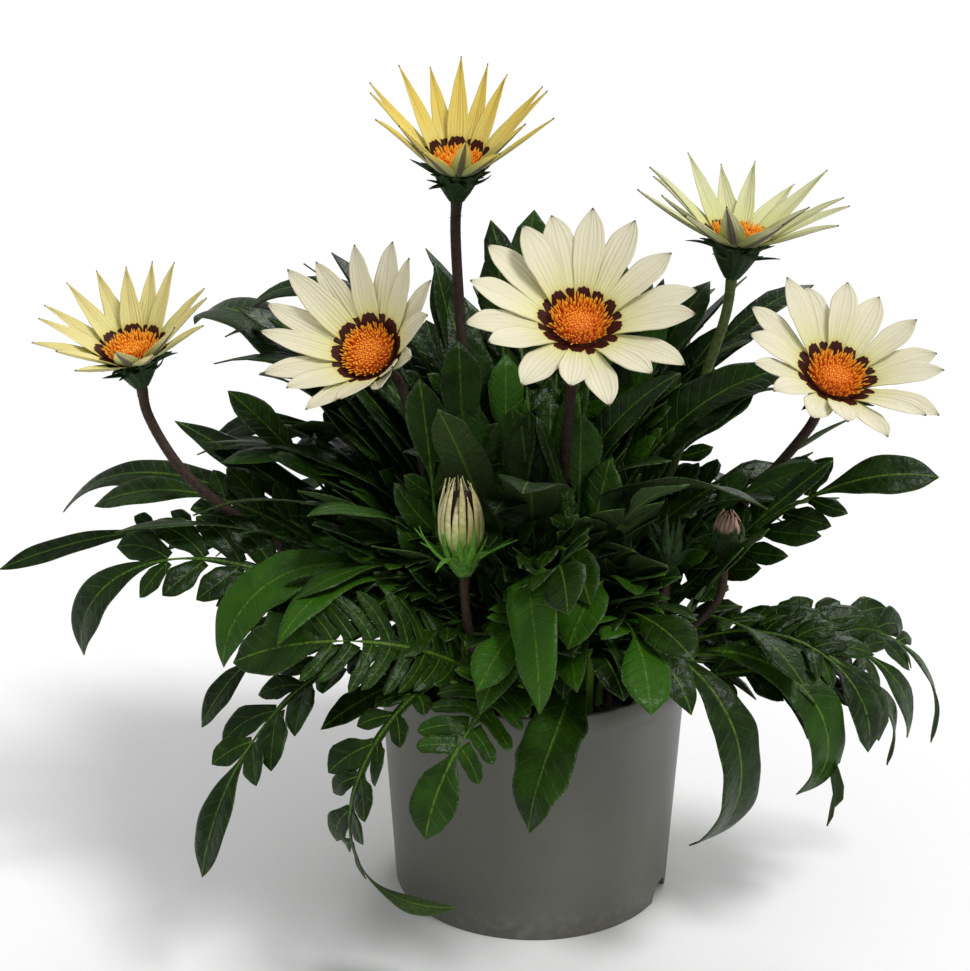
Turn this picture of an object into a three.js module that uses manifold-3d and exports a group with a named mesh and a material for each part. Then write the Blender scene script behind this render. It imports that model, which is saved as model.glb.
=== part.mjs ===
// A gazania in flower, growing in its round plastic pot.
//
// Frame: millimetres, +Z up, the origin at the centre of the pot's underside, and the
// plant's front towards -Y. Azimuths are degrees from +X, counter-clockwise seen from above.

import * as THREE from 'three';
import { mergeVertices } from 'three/addons/utils/BufferGeometryUtils.js';
import Module from 'manifold-3d';

const wasm = await Module();
wasm.setup();

// ---- driving dimensions -------------------------------------------------------------------

const GAP = 0.3; // clearance between pieces that rest on each other

const POT = {
  height: 100,
  rimRadius: 65,
  baseRadius: 57.5,
  collar: 10, // height of the band under the rim
  collarStep: 1.7, // how far the band stands out from the wall
  chamfer: 0.6, // on the band's edges
  shoulder: 1.2, // height of the slope from the wall out to the band
  wall: 1.8,
  footWidth: 2.6,
  floorThick: 2,
  padRadius: 20, // the middle of the floor, which lies on the ground
  channel: 6, // how far the floor is raised between the pad and the foot ring
  bank: 4, // how far out the floor climbs from the pad to the channel
  inset: 1.1, // the floor's inner corners at the bank lie this much further in
  sides: 32,
};
const NOTCH = { width: 16, height: 6.5, cut: 12, azimuths: [-21, 159] };
const DRAIN = { radius: 3.2, ring: 34, count: 6 };

const SOIL = { top: 92, dip: 1.5, relief: 0.54, edge: 1.5, sides: 20, holeDepth: 6 };
const CROWN = 3; // height over the soil at which leaf and flower stalks set off

const PETIOLE = { half: 1.6, thick: 1.8, taper: 0.8 };
const BLADE_THICK = 0.8;
const MIDRIB = 0.25; // how far the midrib stands over the blade
const RACHIS = 1.9; // half the width of blade left between two lobes
const PLAIN_STEM = 0.38; // share of a plain leaf's length that is bare stem
const LOBED = { stem: 0.3, end: 0.74, endHalf: 0.54 }; // the same, where its end lobe starts, and
// half the end lobe's width as a share of the widest side lobe's reach
const KNOB = { radius: 4.5, top: 5 }; // a tuft's crown: its radius, and its height over the soil

const STALK = { radius: 2, thin: 1.6, sides: 6, steps: 7, lead: 14, room: 0.5 };

// A bloom, measured in its own frame: +Z along its axis, the origin where the rays spring.
const RAY = { count: 16, claw: 11, clawHalf: 1.8, thick: 0.8, fill: 0.46 };
const RING = { inner: 7, thick: 0.8 }; // the rays' joined feet
const DISC = { radius: 10.4, height: 4.2, dome: 0.75, sectors: 12, rings: 4, floret: 0.9 };
const CUP = { radius: 11.2, depth: 17, neck: 3, sides: 8, bracts: 7 };
// The cup's outline between its neck and its mouth: [share of its radius, depth as a share].
const CUP_PROFILE = [[0.52, 0.66], [0.86, 0.25]];
const BRACT = { slope: 20, long: 12, half: 1.6, belly: 0.45 };
const BUD_CUP = { radius: 6.5, depth: 8 };
const FURL = { pleats: 7, depth: 0.82 }; // a bud's pleats, and the radius in them as a share

// ---- small helpers ------------------------------------------------------------------------

const rad = THREE.MathUtils.degToRad;
const Z_UP = new THREE.Vector3(0, 0, 1);

// The unit vector at an azimuth and an elevation, both in degrees.
function heading(azimuth, elevation) {
  const level = Math.cos(rad(elevation));
  const x = level * Math.cos(rad(azimuth));
  const y = level * Math.sin(rad(azimuth));
  return new THREE.Vector3(x, y, Math.sin(rad(elevation)));
}

// A bare closed mesh from corner points and triangles.
function meshFrom(corners, triangles) {
  const geometry = new THREE.BufferGeometry();
  const flat = corners.flatMap((p) => [p.x, p.y, p.z]);
  geometry.setAttribute('position', new THREE.Float32BufferAttribute(flat, 3));
  geometry.setIndex(triangles.flat());
  geometry.computeVertexNormals();
  return geometry;
}

// A thin sheet made solid. `points` are its corners, each with a place, a normal and half the
// thickness there; `faces` are its triangles seen from above; `loops` are its free edges, with
// the sheet on their left. Both faces are split alike.
function sheet(points, faces, loops) {
  const count = points.length;
  const above = points.map((p) => p.at.clone().addScaledVector(p.normal, p.half));
  const below = points.map((p) => p.at.clone().addScaledVector(p.normal, -p.half));
  const triangles = faces.concat(faces.map(([a, b, c]) => [a + count, c + count, b + count]));
  for (const loop of loops) {
    loop.forEach((a, i) => {
      const b = loop[(i + 1) % loop.length];
      triangles.push([a, a + count, b + count], [a, b + count, b]);
    });
  }
  return meshFrom(above.concat(below), triangles);
}

// A geometry as a solid that can be joined and cut.
function toSolid(geometry) {
  const bare = geometry.clone();
  bare.deleteAttribute('normal');
  if (bare.hasAttribute('uv')) bare.deleteAttribute('uv');
  const merged = mergeVertices(bare, 1e-4);
  const index = Array.from(merged.index.array);
  const kept = [];
  for (let i = 0; i < index.length; i += 3) {
    const [a, b, c] = index.slice(i, i + 3);
    if (a !== b && b !== c && c !== a) kept.push(a, b, c);
  }
  const vertProperties = new Float32Array(merged.attributes.position.array);
  const mesh = new wasm.Mesh({ numProp: 3, vertProperties, triVerts: new Uint32Array(kept) });
  return new wasm.Manifold(mesh);
}

// A solid back as a geometry.
function toGeometry(solid) {
  const mesh = solid.getMesh();
  const geometry = new THREE.BufferGeometry();
  geometry.setAttribute('position', new THREE.BufferAttribute(mesh.vertProperties, 3));
  geometry.setIndex(new THREE.BufferAttribute(mesh.triVerts, 1));
  geometry.computeVertexNormals();
  return geometry;
}

// Several geometries that overlap, as one body.
function fuse(geometries) {
  const solids = geometries.map(toSolid);
  return toGeometry(solids.reduce((whole, next) => whole.add(next)));
}

// A profile of [radius, height] pairs, bottom outside first, turned about the Z axis.
function turned(profile, sides) {
  const points = profile.map(([r, z]) => new THREE.Vector2(r, z));
  return new THREE.LatheGeometry(points, sides).rotateX(Math.PI / 2);
}

// An upright prism standing at x, y between two heights.
function peg(x, y, radius, bottom, top, sides = 6) {
  const prism = new THREE.CylinderGeometry(radius, radius, top - bottom, sides);
  return prism.rotateX(Math.PI / 2).translate(x, y, (bottom + top) / 2);
}

// ---- finishes -----------------------------------------------------------------------------

const FINISH = {
  pot: { color: 0x66665e, roughness: 0.45 },
  soil: { color: 0x1d1511, roughness: 0.95 },
  leaf: { color: 0x1f4a1c, roughness: 0.45 },
  stalk: { color: 0x40241a, roughness: 0.6 },
  greenStalk: { color: 0x3f5a25, roughness: 0.6 },
  cup: { color: 0x24401a, roughness: 0.6 },
  cream: { color: 0xebe6cc, roughness: 0.5 },
  yellow: { color: 0xe3cc62, roughness: 0.5 },
  disc: { color: 0xe8761a, roughness: 0.6 },
  faded: { color: 0xb08c78, roughness: 0.7 },
};

const plant = new THREE.Group();

// Adds one named piece to a group.
function piece(name, geometry, finish, group = plant) {
  const material = new THREE.MeshStandardMaterial({ ...FINISH[finish], metalness: 0 });
  const mesh = new THREE.Mesh(geometry, material);
  mesh.name = name;
  group.add(mesh);
  return mesh;
}

// ---- leaves -------------------------------------------------------------------------------
//
// A leaf sets off from the soil at `root` towards azimuth `az`. Its slope goes from `rise` to
// `fall` along its length `long`, late where `ease` is large, and its heading swings by
// `sweep`. `half` is half the blade's width, `lobes` the pairs of lobes below its end lobe (0
// for a plain blade), `vee` the slope of the blade's two halves, and `roll` its twist.

const LEAF_DEFAULTS = { sweep: 0, ease: 1.4, lobes: 0, vee: 12, roll: 0 };
const SPINE_STEPS = 60;

// The leaf's centre line: place, heading and slope at steps along it.
function leafSpine(leaf) {
  const start = new THREE.Vector3(...leaf.root, SOIL.top + CROWN);
  const spine = [{ at: start, azimuth: leaf.az, slope: (leaf.rise + 90) / 2 }];
  for (let i = 1; i <= SPINE_STEPS; i += 1) {
    const t = (i - 0.5) / SPINE_STEPS;
    const azimuth = leaf.az + leaf.sweep * t;
    const slope = leaf.rise + (leaf.fall - leaf.rise) * t ** leaf.ease;
    const step = heading(azimuth, slope).multiplyScalar(leaf.long / SPINE_STEPS);
    spine.push({ at: spine[i - 1].at.clone().add(step), azimuth, slope });
  }
  return spine;
}

// The frame of a leaf at fraction t of its length: its place, and the ways across and up.
function leafFrame(leaf, spine, t) {
  const place = Math.max(0, Math.min(1, t)) * SPINE_STEPS;
  const low = Math.min(SPINE_STEPS - 1, Math.floor(place));
  const { azimuth, slope } = spine[Math.round(place)];
  const at = spine[low].at.clone().lerp(spine[low + 1].at, place - low);
  const across = heading(azimuth - 90, 0);
  const up = heading(azimuth, slope + 90);
  const roll = rad(leaf.roll) * Math.min(1, t / leaf.stem);
  const tiltedUp = up.clone().multiplyScalar(Math.cos(roll)).addScaledVector(across, Math.sin(roll));
  const tiltedAcross = across.multiplyScalar(Math.cos(roll)).addScaledVector(up, -Math.sin(roll));
  return { at, across: tiltedAcross, up: tiltedUp };
}

// Half the width of a plain blade, as a share of its widest, at fraction u of the blade.
const PLAIN_BLADE = [[0, 0.22], [0.2, 0.62], [0.45, 0.95], [0.7, 0.92], [0.9, 0.5]];
// The same for the end lobe of a cut leaf, of the end lobe's own length.
const END_LOBE = [[0.3, 0.75], [0.62, 0.95], [0.86, 0.55]];
// Corners of one side lobe, back to front, as shares of its step along and of its reach.
const SIDE_LOBE = [[0.3, 0.5], [0.68, 0.93], [1, 1], [0.88, 0.5]];

// How far a side lobe reaches, as a share of the widest, at fraction u of the cut stretch.
function lobeShare(u) {
  return 0.62 + 0.38 * Math.sin(Math.PI * u);
}

// The outline of half a blade: rows along the midrib, each with the corners that lie
// outside it on the way to the next row.
function leafRows(leaf) {
  const rows = [];
  if (leaf.lobes === 0) {
    const blade = 1 - leaf.stem;
    PLAIN_BLADE.forEach(([u, w]) => rows.push({ t: leaf.stem + u * blade, out: w * leaf.half }));
    return rows;
  }
  const cut = (LOBED.end - leaf.stem) / leaf.lobes;
  for (let k = 0; k < leaf.lobes; k += 1) {
    const t = leaf.stem + k * cut;
    const reach = leaf.half * lobeShare((k + 1) / (leaf.lobes + 0.7));
    const lobe = SIDE_LOBE.map(([along, side]) => ({ t: t + along * cut, out: side * reach }));
    rows.push({ t, out: RACHIS, lobe });
  }
  rows.push({ t: LOBED.end, out: RACHIS });
  END_LOBE.forEach(([u, w]) => {
    rows.push({ t: LOBED.end + u * (1 - LOBED.end), out: w * LOBED.endHalf * leaf.half });
  });
  return rows;
}

// One leaf as a closed solid.
function leafSolid(given) {
  const leaf = { ...LEAF_DEFAULTS, ...given };
  leaf.stem = leaf.lobes ? LOBED.stem : PLAIN_STEM;
  const spine = leafSpine(leaf);
  const points = [];
  const put = (t, x, depth = 0) => {
    const { at, across, up } = leafFrame(leaf, spine, t);
    const inBlade = t > leaf.stem * 0.8;
    const lift = inBlade ? Math.abs(x) * Math.tan(rad(leaf.vee)) + (x === 0 ? MIDRIB : 0) : 0;
    at.addScaledVector(across, x).addScaledVector(up, lift);
    if (depth) at.addScaledVector(Z_UP, -depth);
    points.push({ at, normal: up, half: (inBlade ? BLADE_THICK : PETIOLE.thick) / 2 });
    return points.length - 1;
  };
  const edgePair = (t, out, depth) => {
    const [left, right] = [-out, out].map((x) => put(t, x, depth));
    return { left, right };
  };
  const root = edgePair(0, PETIOLE.half, CROWN + SOIL.holeDepth - 1);
  [root.left, root.right].forEach((i) => { points[i].normal = heading(leaf.az + 180, 0); });
  const narrow = edgePair(leaf.stem * 0.55, PETIOLE.half * PETIOLE.taper);
  const petiole = [root, edgePair(0.001, PETIOLE.half), narrow];
  const blade = leafRows(leaf).map((row) => {
    const [left, mid, right] = [-1, 0, 1].map((side) => put(row.t, side * row.out));
    const lobes = [-1, 1].map((side) => (row.lobe ?? []).map((c) => put(c.t, side * c.out)));
    return { left, mid, right, lobes };
  });
  const tip = put(1, 0);
  const faces = [];
  petiole.forEach((row, i) => {
    const next = petiole[i + 1] ?? blade[0];
    if (i + 1 < petiole.length) {
      faces.push([row.left, row.right, next.right], [row.left, next.right, next.left]);
    } else {
      faces.push([row.left, row.right, next.mid], [row.right, next.right, next.mid]);
      faces.push([row.left, next.mid, next.left]);
    }
  });
  const left = petiole.map((row) => row.left);
  const right = petiole.map((row) => row.right);
  blade.forEach((row, i) => {
    left.push(row.left);
    right.push(row.right);
    if (i === blade.length - 1) {
      faces.push([row.mid, row.right, tip], [row.left, row.mid, tip]);
      return;
    }
    const next = blade[i + 1];
    faces.push([row.mid, row.right, next.right], [row.mid, next.right, next.mid]);
    faces.push([row.left, row.mid, next.mid], [row.left, next.mid, next.left]);
    if (row.lobes[1].length) {
      const [a, b, c, d] = row.lobes[1];
      faces.push([row.right, d, next.right], [row.right, a, d], [a, b, d], [b, c, d]);
      right.push(a, b, c, d);
      const [e, f, g, h] = row.lobes[0];
      faces.push([row.left, next.left, h], [row.left, h, e], [e, h, f], [f, h, g]);
      left.push(e, f, g, h);
    }
  });
  return sheet(points, faces, [[...right, tip, ...left.reverse()]]);
}

// Leaves that each stand by themselves, from the far left round the front to the right.
const LEAVES = {
  left_upper: {
    root: [-20, 5], az: 177, rise: 44, fall: 21, ease: 1.7, sweep: -14,
    long: 163, half: 8, roll: -30,
  },
  far_left: {
    root: [-30, 6], az: 178, rise: 70, fall: -24, ease: 0.6, sweep: 5,
    long: 211, half: 11, lobes: 5, roll: -35,
  },
  left_blade: {
    root: [-23, -2], az: 194, rise: 44, fall: -53, ease: 2.5, sweep: -42,
    long: 212, half: 7, roll: -30,
  },
  left_spray: {
    root: [-33, -19], az: 205, rise: 41, fall: -100, ease: 2.8, sweep: -33,
    long: 187, half: 17, lobes: 5, roll: -50,
  },
  left_low: {
    root: [-40, -14], az: 195, rise: 80, fall: -66, ease: 0.7, sweep: 5,
    long: 120, half: 13, lobes: 3, roll: -20,
  },
  left_bright: {
    root: [-38, -26], az: 206, rise: 78, fall: -90, ease: 1.6, sweep: 8,
    long: 140, half: 10, roll: -30,
  },
  left_hanging: {
    root: [-30, -32], az: 213, rise: 84, fall: -78, ease: 0.6, sweep: 16,
    long: 160, half: 16, lobes: 4,
  },
  left_curl: {
    root: [-22, -31], az: 228, rise: 64, fall: -34, ease: 0.6, sweep: -22,
    long: 78, half: 6, roll: -30,
  },
  left_fern: {
    root: [-12, -39], az: 250, rise: 46, fall: -32, ease: 1.6, sweep: -86,
    long: 131, half: 19, lobes: 5, roll: -50,
  },
  front_curl: {
    root: [-27, -42], az: 264, rise: 59, fall: -181, ease: 1.1, sweep: -77,
    long: 172, half: 12, lobes: 5,
  },
  front_fern: {
    root: [-3, -45], az: 267, rise: 61, fall: -81, ease: 1, sweep: -45,
    long: 113, half: 17, lobes: 4, roll: -25,
  },
  front_broad: {
    root: [10, -44], az: 296, rise: 80, fall: -88, ease: 0.8, sweep: -78,
    long: 103, half: 12,
  },
  right_rim: {
    root: [18, -38], az: 300, rise: 85, fall: -69, ease: 1.2, sweep: 13,
    long: 94, half: 8, roll: 20,
  },
  right_hanging: {
    root: [26, -34], az: 308, rise: 88, fall: -150, ease: 0.9, sweep: 20,
    long: 151, half: 11, roll: 10,
  },
  right_bright: {
    root: [35, -24], az: 324, rise: 42, fall: -146, ease: 1.8, sweep: 17,
    long: 136, half: 9, roll: 35,
  },
  right_leaflets: {
    root: [29, -24], az: 319, rise: 19, fall: -120, ease: 3, sweep: 83,
    long: 152, half: 14, lobes: 4, roll: 45,
  },
  right_arch: {
    root: [39, -10], az: 346, rise: 28, fall: -106, ease: 2, sweep: 43,
    long: 170, half: 13, lobes: 5, roll: 30,
  },
  right_broad: {
    root: [28, -12], az: 338, rise: 52, fall: 43, ease: 1.8, sweep: 1,
    long: 134, half: 9, lobes: 3, roll: 45,
  },
  right_far: {
    root: [33, -7], az: 347, rise: 53, fall: -11, ease: 2.6, sweep: 11,
    long: 159, half: 16, lobes: 5, roll: 50,
  },
  right_upper: {
    root: [17, 5], az: 14, rise: 83, fall: 8, ease: 1.6, sweep: -7,
    long: 160, half: 13, roll: 30,
  },
};

// Tufts: leaves that spring from one crown, at [x, y] on the soil, and share its node.
const TUFTS = {
  back_left: {
    at: [-14, 24],
    leaves: [
      { az: 150, rise: 80, fall: -50, ease: 3, sweep: 25, long: 215, half: 9, roll: -20 },
      { az: 165, rise: 64, fall: -45, ease: 2.2, sweep: 10, long: 175, half: 13, lobes: 3, roll: -30 },
      { az: 135, rise: 50, fall: -60, ease: 1.8, sweep: 15, long: 165, half: 14, lobes: 3 },
      { az: 105, rise: 62, fall: -70, ease: 1.8, sweep: -15, long: 150, half: 11 },
      { az: 118, rise: 78, fall: 10, ease: 1.6, sweep: 30, long: 165, half: 10, roll: -20 },
      { az: 20, rise: 78, fall: 0, ease: 1.6, sweep: -10, long: 160, half: 9, roll: 20 },
    ],
  },
  back_right: {
    at: [14, 26],
    leaves: [
      { az: 28, rise: 62, fall: 20, ease: 1.6, sweep: 5, long: 140, half: 13, lobes: 3, roll: 30 },
      { az: 45, rise: 48, fall: -60, ease: 1.8, sweep: -15, long: 165, half: 14, lobes: 3 },
      { az: 80, rise: 60, fall: -65, ease: 1.7, sweep: 15, long: 155, half: 11 },
      { az: 62, rise: 80, fall: 25, ease: 1.6, sweep: -20, long: 150, half: 10, roll: 20 },
      { az: 99, rise: 84, fall: 30, ease: 1.5, sweep: 40, long: 165, half: 9 },
    ],
  },
  middle: {
    at: [-2, 6],
    leaves: [
      { az: 175, rise: 84, fall: 50, ease: 1.5, sweep: -60, long: 170, half: 10, roll: -20 },
      { az: 232, rise: 82, fall: 10, ease: 2, sweep: -20, long: 125, half: 11, roll: -10 },
      { az: 264, rise: 82, fall: -10, ease: 2, sweep: -8, long: 118, half: 10 },
      { az: 328, rise: 82, fall: 5, ease: 2, sweep: 10, long: 120, half: 11 },
      { az: 0, rise: 82, fall: 25, ease: 2, sweep: 10, long: 140, half: 10, roll: 20 },
      { az: 315, rise: 74, fall: -20, ease: 1.6, sweep: 10, long: 160, half: 12, roll: -20 },
      { az: 275, rise: 72, fall: 0, ease: 1.6, sweep: -10, long: 160, half: 12, roll: -10 },
      { az: 235, rise: 68, fall: 40, ease: 1.6, sweep: 20, long: 150, half: 9, roll: 20 },
      { az: 85, rise: 78, fall: 50, ease: 1.6, sweep: 20, long: 140, half: 11 },
    ],
  },
  front: {
    at: [-8, -30],
    leaves: [
      { az: 215, rise: 72, fall: -40, ease: 1.5, sweep: -15, long: 75, half: 8 },
      { az: 282, rise: 80, fall: -40, ease: 1.6, sweep: 4, long: 46, half: 8 },
      { az: 318, rise: 74, fall: 10, ease: 1.5, sweep: -12, long: 66, half: 10, lobes: 3, roll: 20 },
      { az: 180, rise: 80, fall: 0, ease: 2, sweep: 10, long: 92, half: 8, roll: -20 },
      { az: 325, rise: 66, fall: 50, ease: 1.6, sweep: -10, long: 90, half: 12, roll: -20 },
    ],
  },
};

const roots = []; // the room that each thing standing in the soil takes there

// A plain hole in the soil round something of a given radius, with `sides` walls.
function hole([x, y], radius, sides) {
  const around = radius / Math.cos(Math.PI / sides) + GAP;
  return peg(x, y, around, SOIL.top - SOIL.holeDepth, SOIL.top + SOIL.holeDepth, sides);
}

for (const [name, leaf] of Object.entries(LEAVES)) {
  piece(`leaf_${name}`, leafSolid(leaf), 'leaf');
  roots.push(hole(leaf.root, Math.hypot(PETIOLE.half, PETIOLE.thick / 2), 4));
}

for (const [name, tuft] of Object.entries(TUFTS)) {
  const [x, y] = tuft.at;
  const knob = peg(x, y, KNOB.radius, SOIL.top - SOIL.holeDepth + GAP, SOIL.top + KNOB.top, 8);
  const blades = tuft.leaves.map((leaf) => leafSolid({ root: [x, y], ...leaf }));
  piece(`tuft_${name}`, fuse([knob, ...blades]), 'leaf');
  roots.push(hole(tuft.at, KNOB.radius, 8));
}

// ---- blooms -------------------------------------------------------------------------------

// A ray's outline: [share of its length, share of its widest], the claw's own width first.
const RAY_ROWS = {
  broad: [[0, null], [0.42, 0.98], [0.78, 0.8]],
  lance: [[0, null], [0.3, 1], [0.68, 0.6]],
};

// Whether an azimuth lies in an arc that starts at `from` and is `span` degrees wide.
function inArc(azimuth, { from, span }) {
  return (((azimuth - from) % 360) + 360) % 360 <= span;
}

// A ring of rays in one sheet. `size` scales their joined feet. Each ray rises by `slope`
// degrees to `reach` from the axis, by `far` more where it points away from where the head
// leans `towards`, and by `near` more where it points there. It arches by `arch` and narrows to
// its tip. It is up to twice `wide` across, no wider than the room between its neighbours, and
// its halves fold up by `fold` degrees at its tip. The rays in the arc `short` are shorter, and
// the first ray stands at the azimuth `spin`.
function rays({ size, slope, far, near, towards, reach, arch, shape, wide, fold, short, spin }) {
  const pitch = 360 / RAY.count;
  const level = -RING.thick / 2;
  const claw = RAY.claw * size;
  const points = [];
  const put = (radius, z, azimuth, side, lift) => {
    const out = heading(azimuth, 0);
    const across = heading(azimuth + 90, 0);
    const at = out.clone().multiplyScalar(radius).addScaledVector(across, side);
    at.z = z + lift;
    points.push({ at, normal: Z_UP, half: RAY.thick / 2 });
    return points.length - 1;
  };
  const all = [];
  for (let k = 0; k < RAY.count; k += 1) {
    const azimuth = k * pitch + spin;
    const share = short && inArc(azimuth, short) ? short.share : 1;
    const long = ((reach - claw) / Math.cos(rad(slope))) * share;
    const away = -Math.cos(rad(azimuth - towards));
    const steep = rad(slope + (away > 0 ? far : near) * away ** 2);
    const span = long * Math.cos(steep);
    const rise = long * Math.sin(steep);
    const rows = RAY_ROWS[shape].map(([along, width]) => {
      const bend = rad(fold) * (0.25 + 0.75 * along);
      const radius = claw + along * span;
      const half = width === null ? RAY.clawHalf : width * wide * Math.cos(bend);
      const held = Math.min(half, RAY.fill * rad(pitch) * radius);
      const z = level + along * rise + arch * Math.sin(Math.PI * along);
      const lift = width === null ? 0 : held * Math.tan(bend);
      const place = (side) => put(radius, z, azimuth, side * held, lift * 0.5);
      const middle = put(radius, z, azimuth, 0, -lift * 0.5);
      return [place(-1), middle, place(1)];
    });
    const end = put(claw + span, level + rise, azimuth, 0, 0);
    all.push({ inner: put(RING.inner * size, level, azimuth, 0, 0), rows, end });
  }
  const faces = [];
  const outer = [];
  all.forEach((ray, k) => {
    const next = all[(k + 1) % RAY.count];
    const [, mid, right] = ray.rows[0];
    const [nextLeft, nextMid] = next.rows[0];
    faces.push([ray.inner, mid, right], [ray.inner, right, nextLeft]);
    faces.push([ray.inner, nextLeft, next.inner], [next.inner, nextLeft, nextMid]);
    for (let j = 0; j + 1 < ray.rows.length; j += 1) {
      const [l0, m0, r0] = ray.rows[j];
      const [l1, m1, r1] = ray.rows[j + 1];
      faces.push([m0, m1, r1], [m0, r1, r0], [l0, l1, m1], [l0, m1, m0]);
    }
    const [l, m, r] = ray.rows.at(-1);
    faces.push([m, ray.end, r], [l, ray.end, m]);
    outer.push(...ray.rows.map((row) => row[0]), ray.end);
    outer.push(...ray.rows.map((row) => row[2]).reverse());
  });
  return sheet(points, faces, [outer, all.map((ray) => ray.inner).reverse()]);
}

// The domed disc, its tubular florets as a relief of bumps.
function discDome(size) {
  const wide = DISC.radius * size;
  const corners = [new THREE.Vector3(0, 0, GAP + DISC.height)];
  for (let i = 1; i <= DISC.rings; i += 1) {
    for (let j = 0; j < DISC.sectors; j += 1) {
      const share = i / DISC.rings;
      const corner = heading((j * 360) / DISC.sectors, 0).multiplyScalar(wide * share);
      const bump = (i + j) % 2 === 0 ? DISC.floret : 0;
      corner.z = GAP + DISC.height * (1 - DISC.dome * share ** 2) + bump;
      corners.push(corner);
    }
  }
  for (let j = 0; j < DISC.sectors; j += 1) {
    const corner = heading((j * 360) / DISC.sectors, 0).multiplyScalar(wide);
    corner.z = GAP;
    corners.push(corner);
  }
  corners.push(new THREE.Vector3(0, 0, GAP));
  const at = (ring, j) => 1 + (ring - 1) * DISC.sectors + (j % DISC.sectors);
  const triangles = [];
  for (let j = 0; j < DISC.sectors; j += 1) {
    triangles.push([0, at(1, j), at(1, j + 1)]);
    for (let i = 1; i <= DISC.rings; i += 1) {
      triangles.push([at(i, j), at(i + 1, j), at(i + 1, j + 1)]);
      triangles.push([at(i, j), at(i + 1, j + 1), at(i, j + 1)]);
    }
    triangles.push([corners.length - 1, at(DISC.rings + 1, j + 1), at(DISC.rings + 1, j)]);
  }
  return meshFrom(corners, triangles);
}

// A pointed bract with three sides, from its foot at `radius` and `height` out to its tip.
function bract(azimuth, radius, height, slope, long) {
  const { half } = BRACT;
  const out = heading(azimuth, slope);
  const across = heading(azimuth + 90, 0);
  const up = heading(azimuth, slope + 90);
  const foot = heading(azimuth, 0).multiplyScalar(radius);
  foot.z = height;
  const belly = foot.clone().addScaledVector(out, long * BRACT.belly);
  const corners = [
    foot.clone().addScaledVector(across, -half).addScaledVector(up, -0.5),
    foot.clone().addScaledVector(across, half).addScaledVector(up, -0.5),
    foot.clone().addScaledVector(up, 1),
    belly.clone().addScaledVector(across, -half * 0.9).addScaledVector(up, -0.4),
    belly.clone().addScaledVector(across, half * 0.9).addScaledVector(up, -0.4),
    belly.clone().addScaledVector(up, 0.7),
    foot.clone().addScaledVector(out, long),
  ];
  const triangles = [
    [0, 2, 1], [0, 1, 4], [0, 4, 3], [1, 2, 5], [1, 5, 4],
    [2, 0, 3], [2, 3, 5], [3, 4, 6], [4, 5, 6], [5, 3, 6],
  ];
  return meshFrom(corners, triangles);
}

// The cup under a bloom or bud, its mouth at height `top`, with bracts in two tiers.
function cup({ radius, depth, top, bractSlope = BRACT.slope, bractLong = BRACT.long }) {
  const profile = [
    [0, top - depth], [CUP.neck, top - depth],
    ...CUP_PROFILE.map(([wide, deep]) => [radius * wide, top - depth * deep]),
    [radius, top], [0, top],
  ];
  const parts = [turned(profile, CUP.sides)];
  for (let k = 0; k < CUP.bracts; k += 1) {
    const azimuth = ((k + 0.5) * 360) / CUP.bracts;
    const low = k % 2 === 0;
    const height = top - depth * (low ? 0.42 : 0.2);
    const spring = radius * (low ? 0.66 : 0.84);
    parts.push(bract(azimuth, spring, height, bractSlope, bractLong));
  }
  return fuse(parts);
}

// A stalk through hand-set points, from under the soil to the cup.
function stalk(points, radius) {
  const route = new THREE.CatmullRomCurve3(points, false, 'centripetal');
  const section = new THREE.Shape();
  for (let i = 0; i < STALK.sides; i += 1) {
    const turn = (i / STALK.sides) * 2 * Math.PI;
    const [x, y] = [radius * Math.cos(turn), radius * Math.sin(turn)];
    if (i === 0) section.moveTo(x, y);
    else section.lineTo(x, y);
  }
  const settings = { steps: STALK.steps, extrudePath: route, bevelEnabled: false };
  return new THREE.ExtrudeGeometry(section, settings);
}

// The route of a stalk: it leaves the soil at `root`, passes `via` and meets the bloom from
// below along the bloom's axis.
function stalkRoute({ at, axis, root, via = [] }, below) {
  const [x, y] = root;
  const top = new THREE.Vector3(...at).addScaledVector(axis, -below);
  return [
    new THREE.Vector3(x, y, SOIL.top - SOIL.holeDepth + GAP),
    new THREE.Vector3(x, y, SOIL.top - 2),
    new THREE.Vector3(x, y, SOIL.top + 2 * CROWN),
    ...via.map((p) => new THREE.Vector3(...p)),
    top.clone().addScaledVector(axis, -STALK.lead),
    top,
  ];
}

// Adds a stalk, and the hole it stands in, which is the stalk's own foot made wider.
function addStalk(name, route, radius, finish) {
  piece(`stalk_${name}`, stalk(route, radius), finish);
  const sunk = [route[0].clone().addScaledVector(Z_UP, -GAP), ...route.slice(1)];
  roots.push(stalk(sunk, radius + STALK.room));
}

// A group standing at `at` with +Z along the axis that leans `lean` degrees towards `towards`.
function standing({ at, lean, towards }) {
  const group = new THREE.Group();
  const axis = heading(towards, 90 - lean);
  group.position.set(...at);
  group.quaternion.setFromUnitVectors(Z_UP, axis);
  plant.add(group);
  return { group, axis };
}

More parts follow.
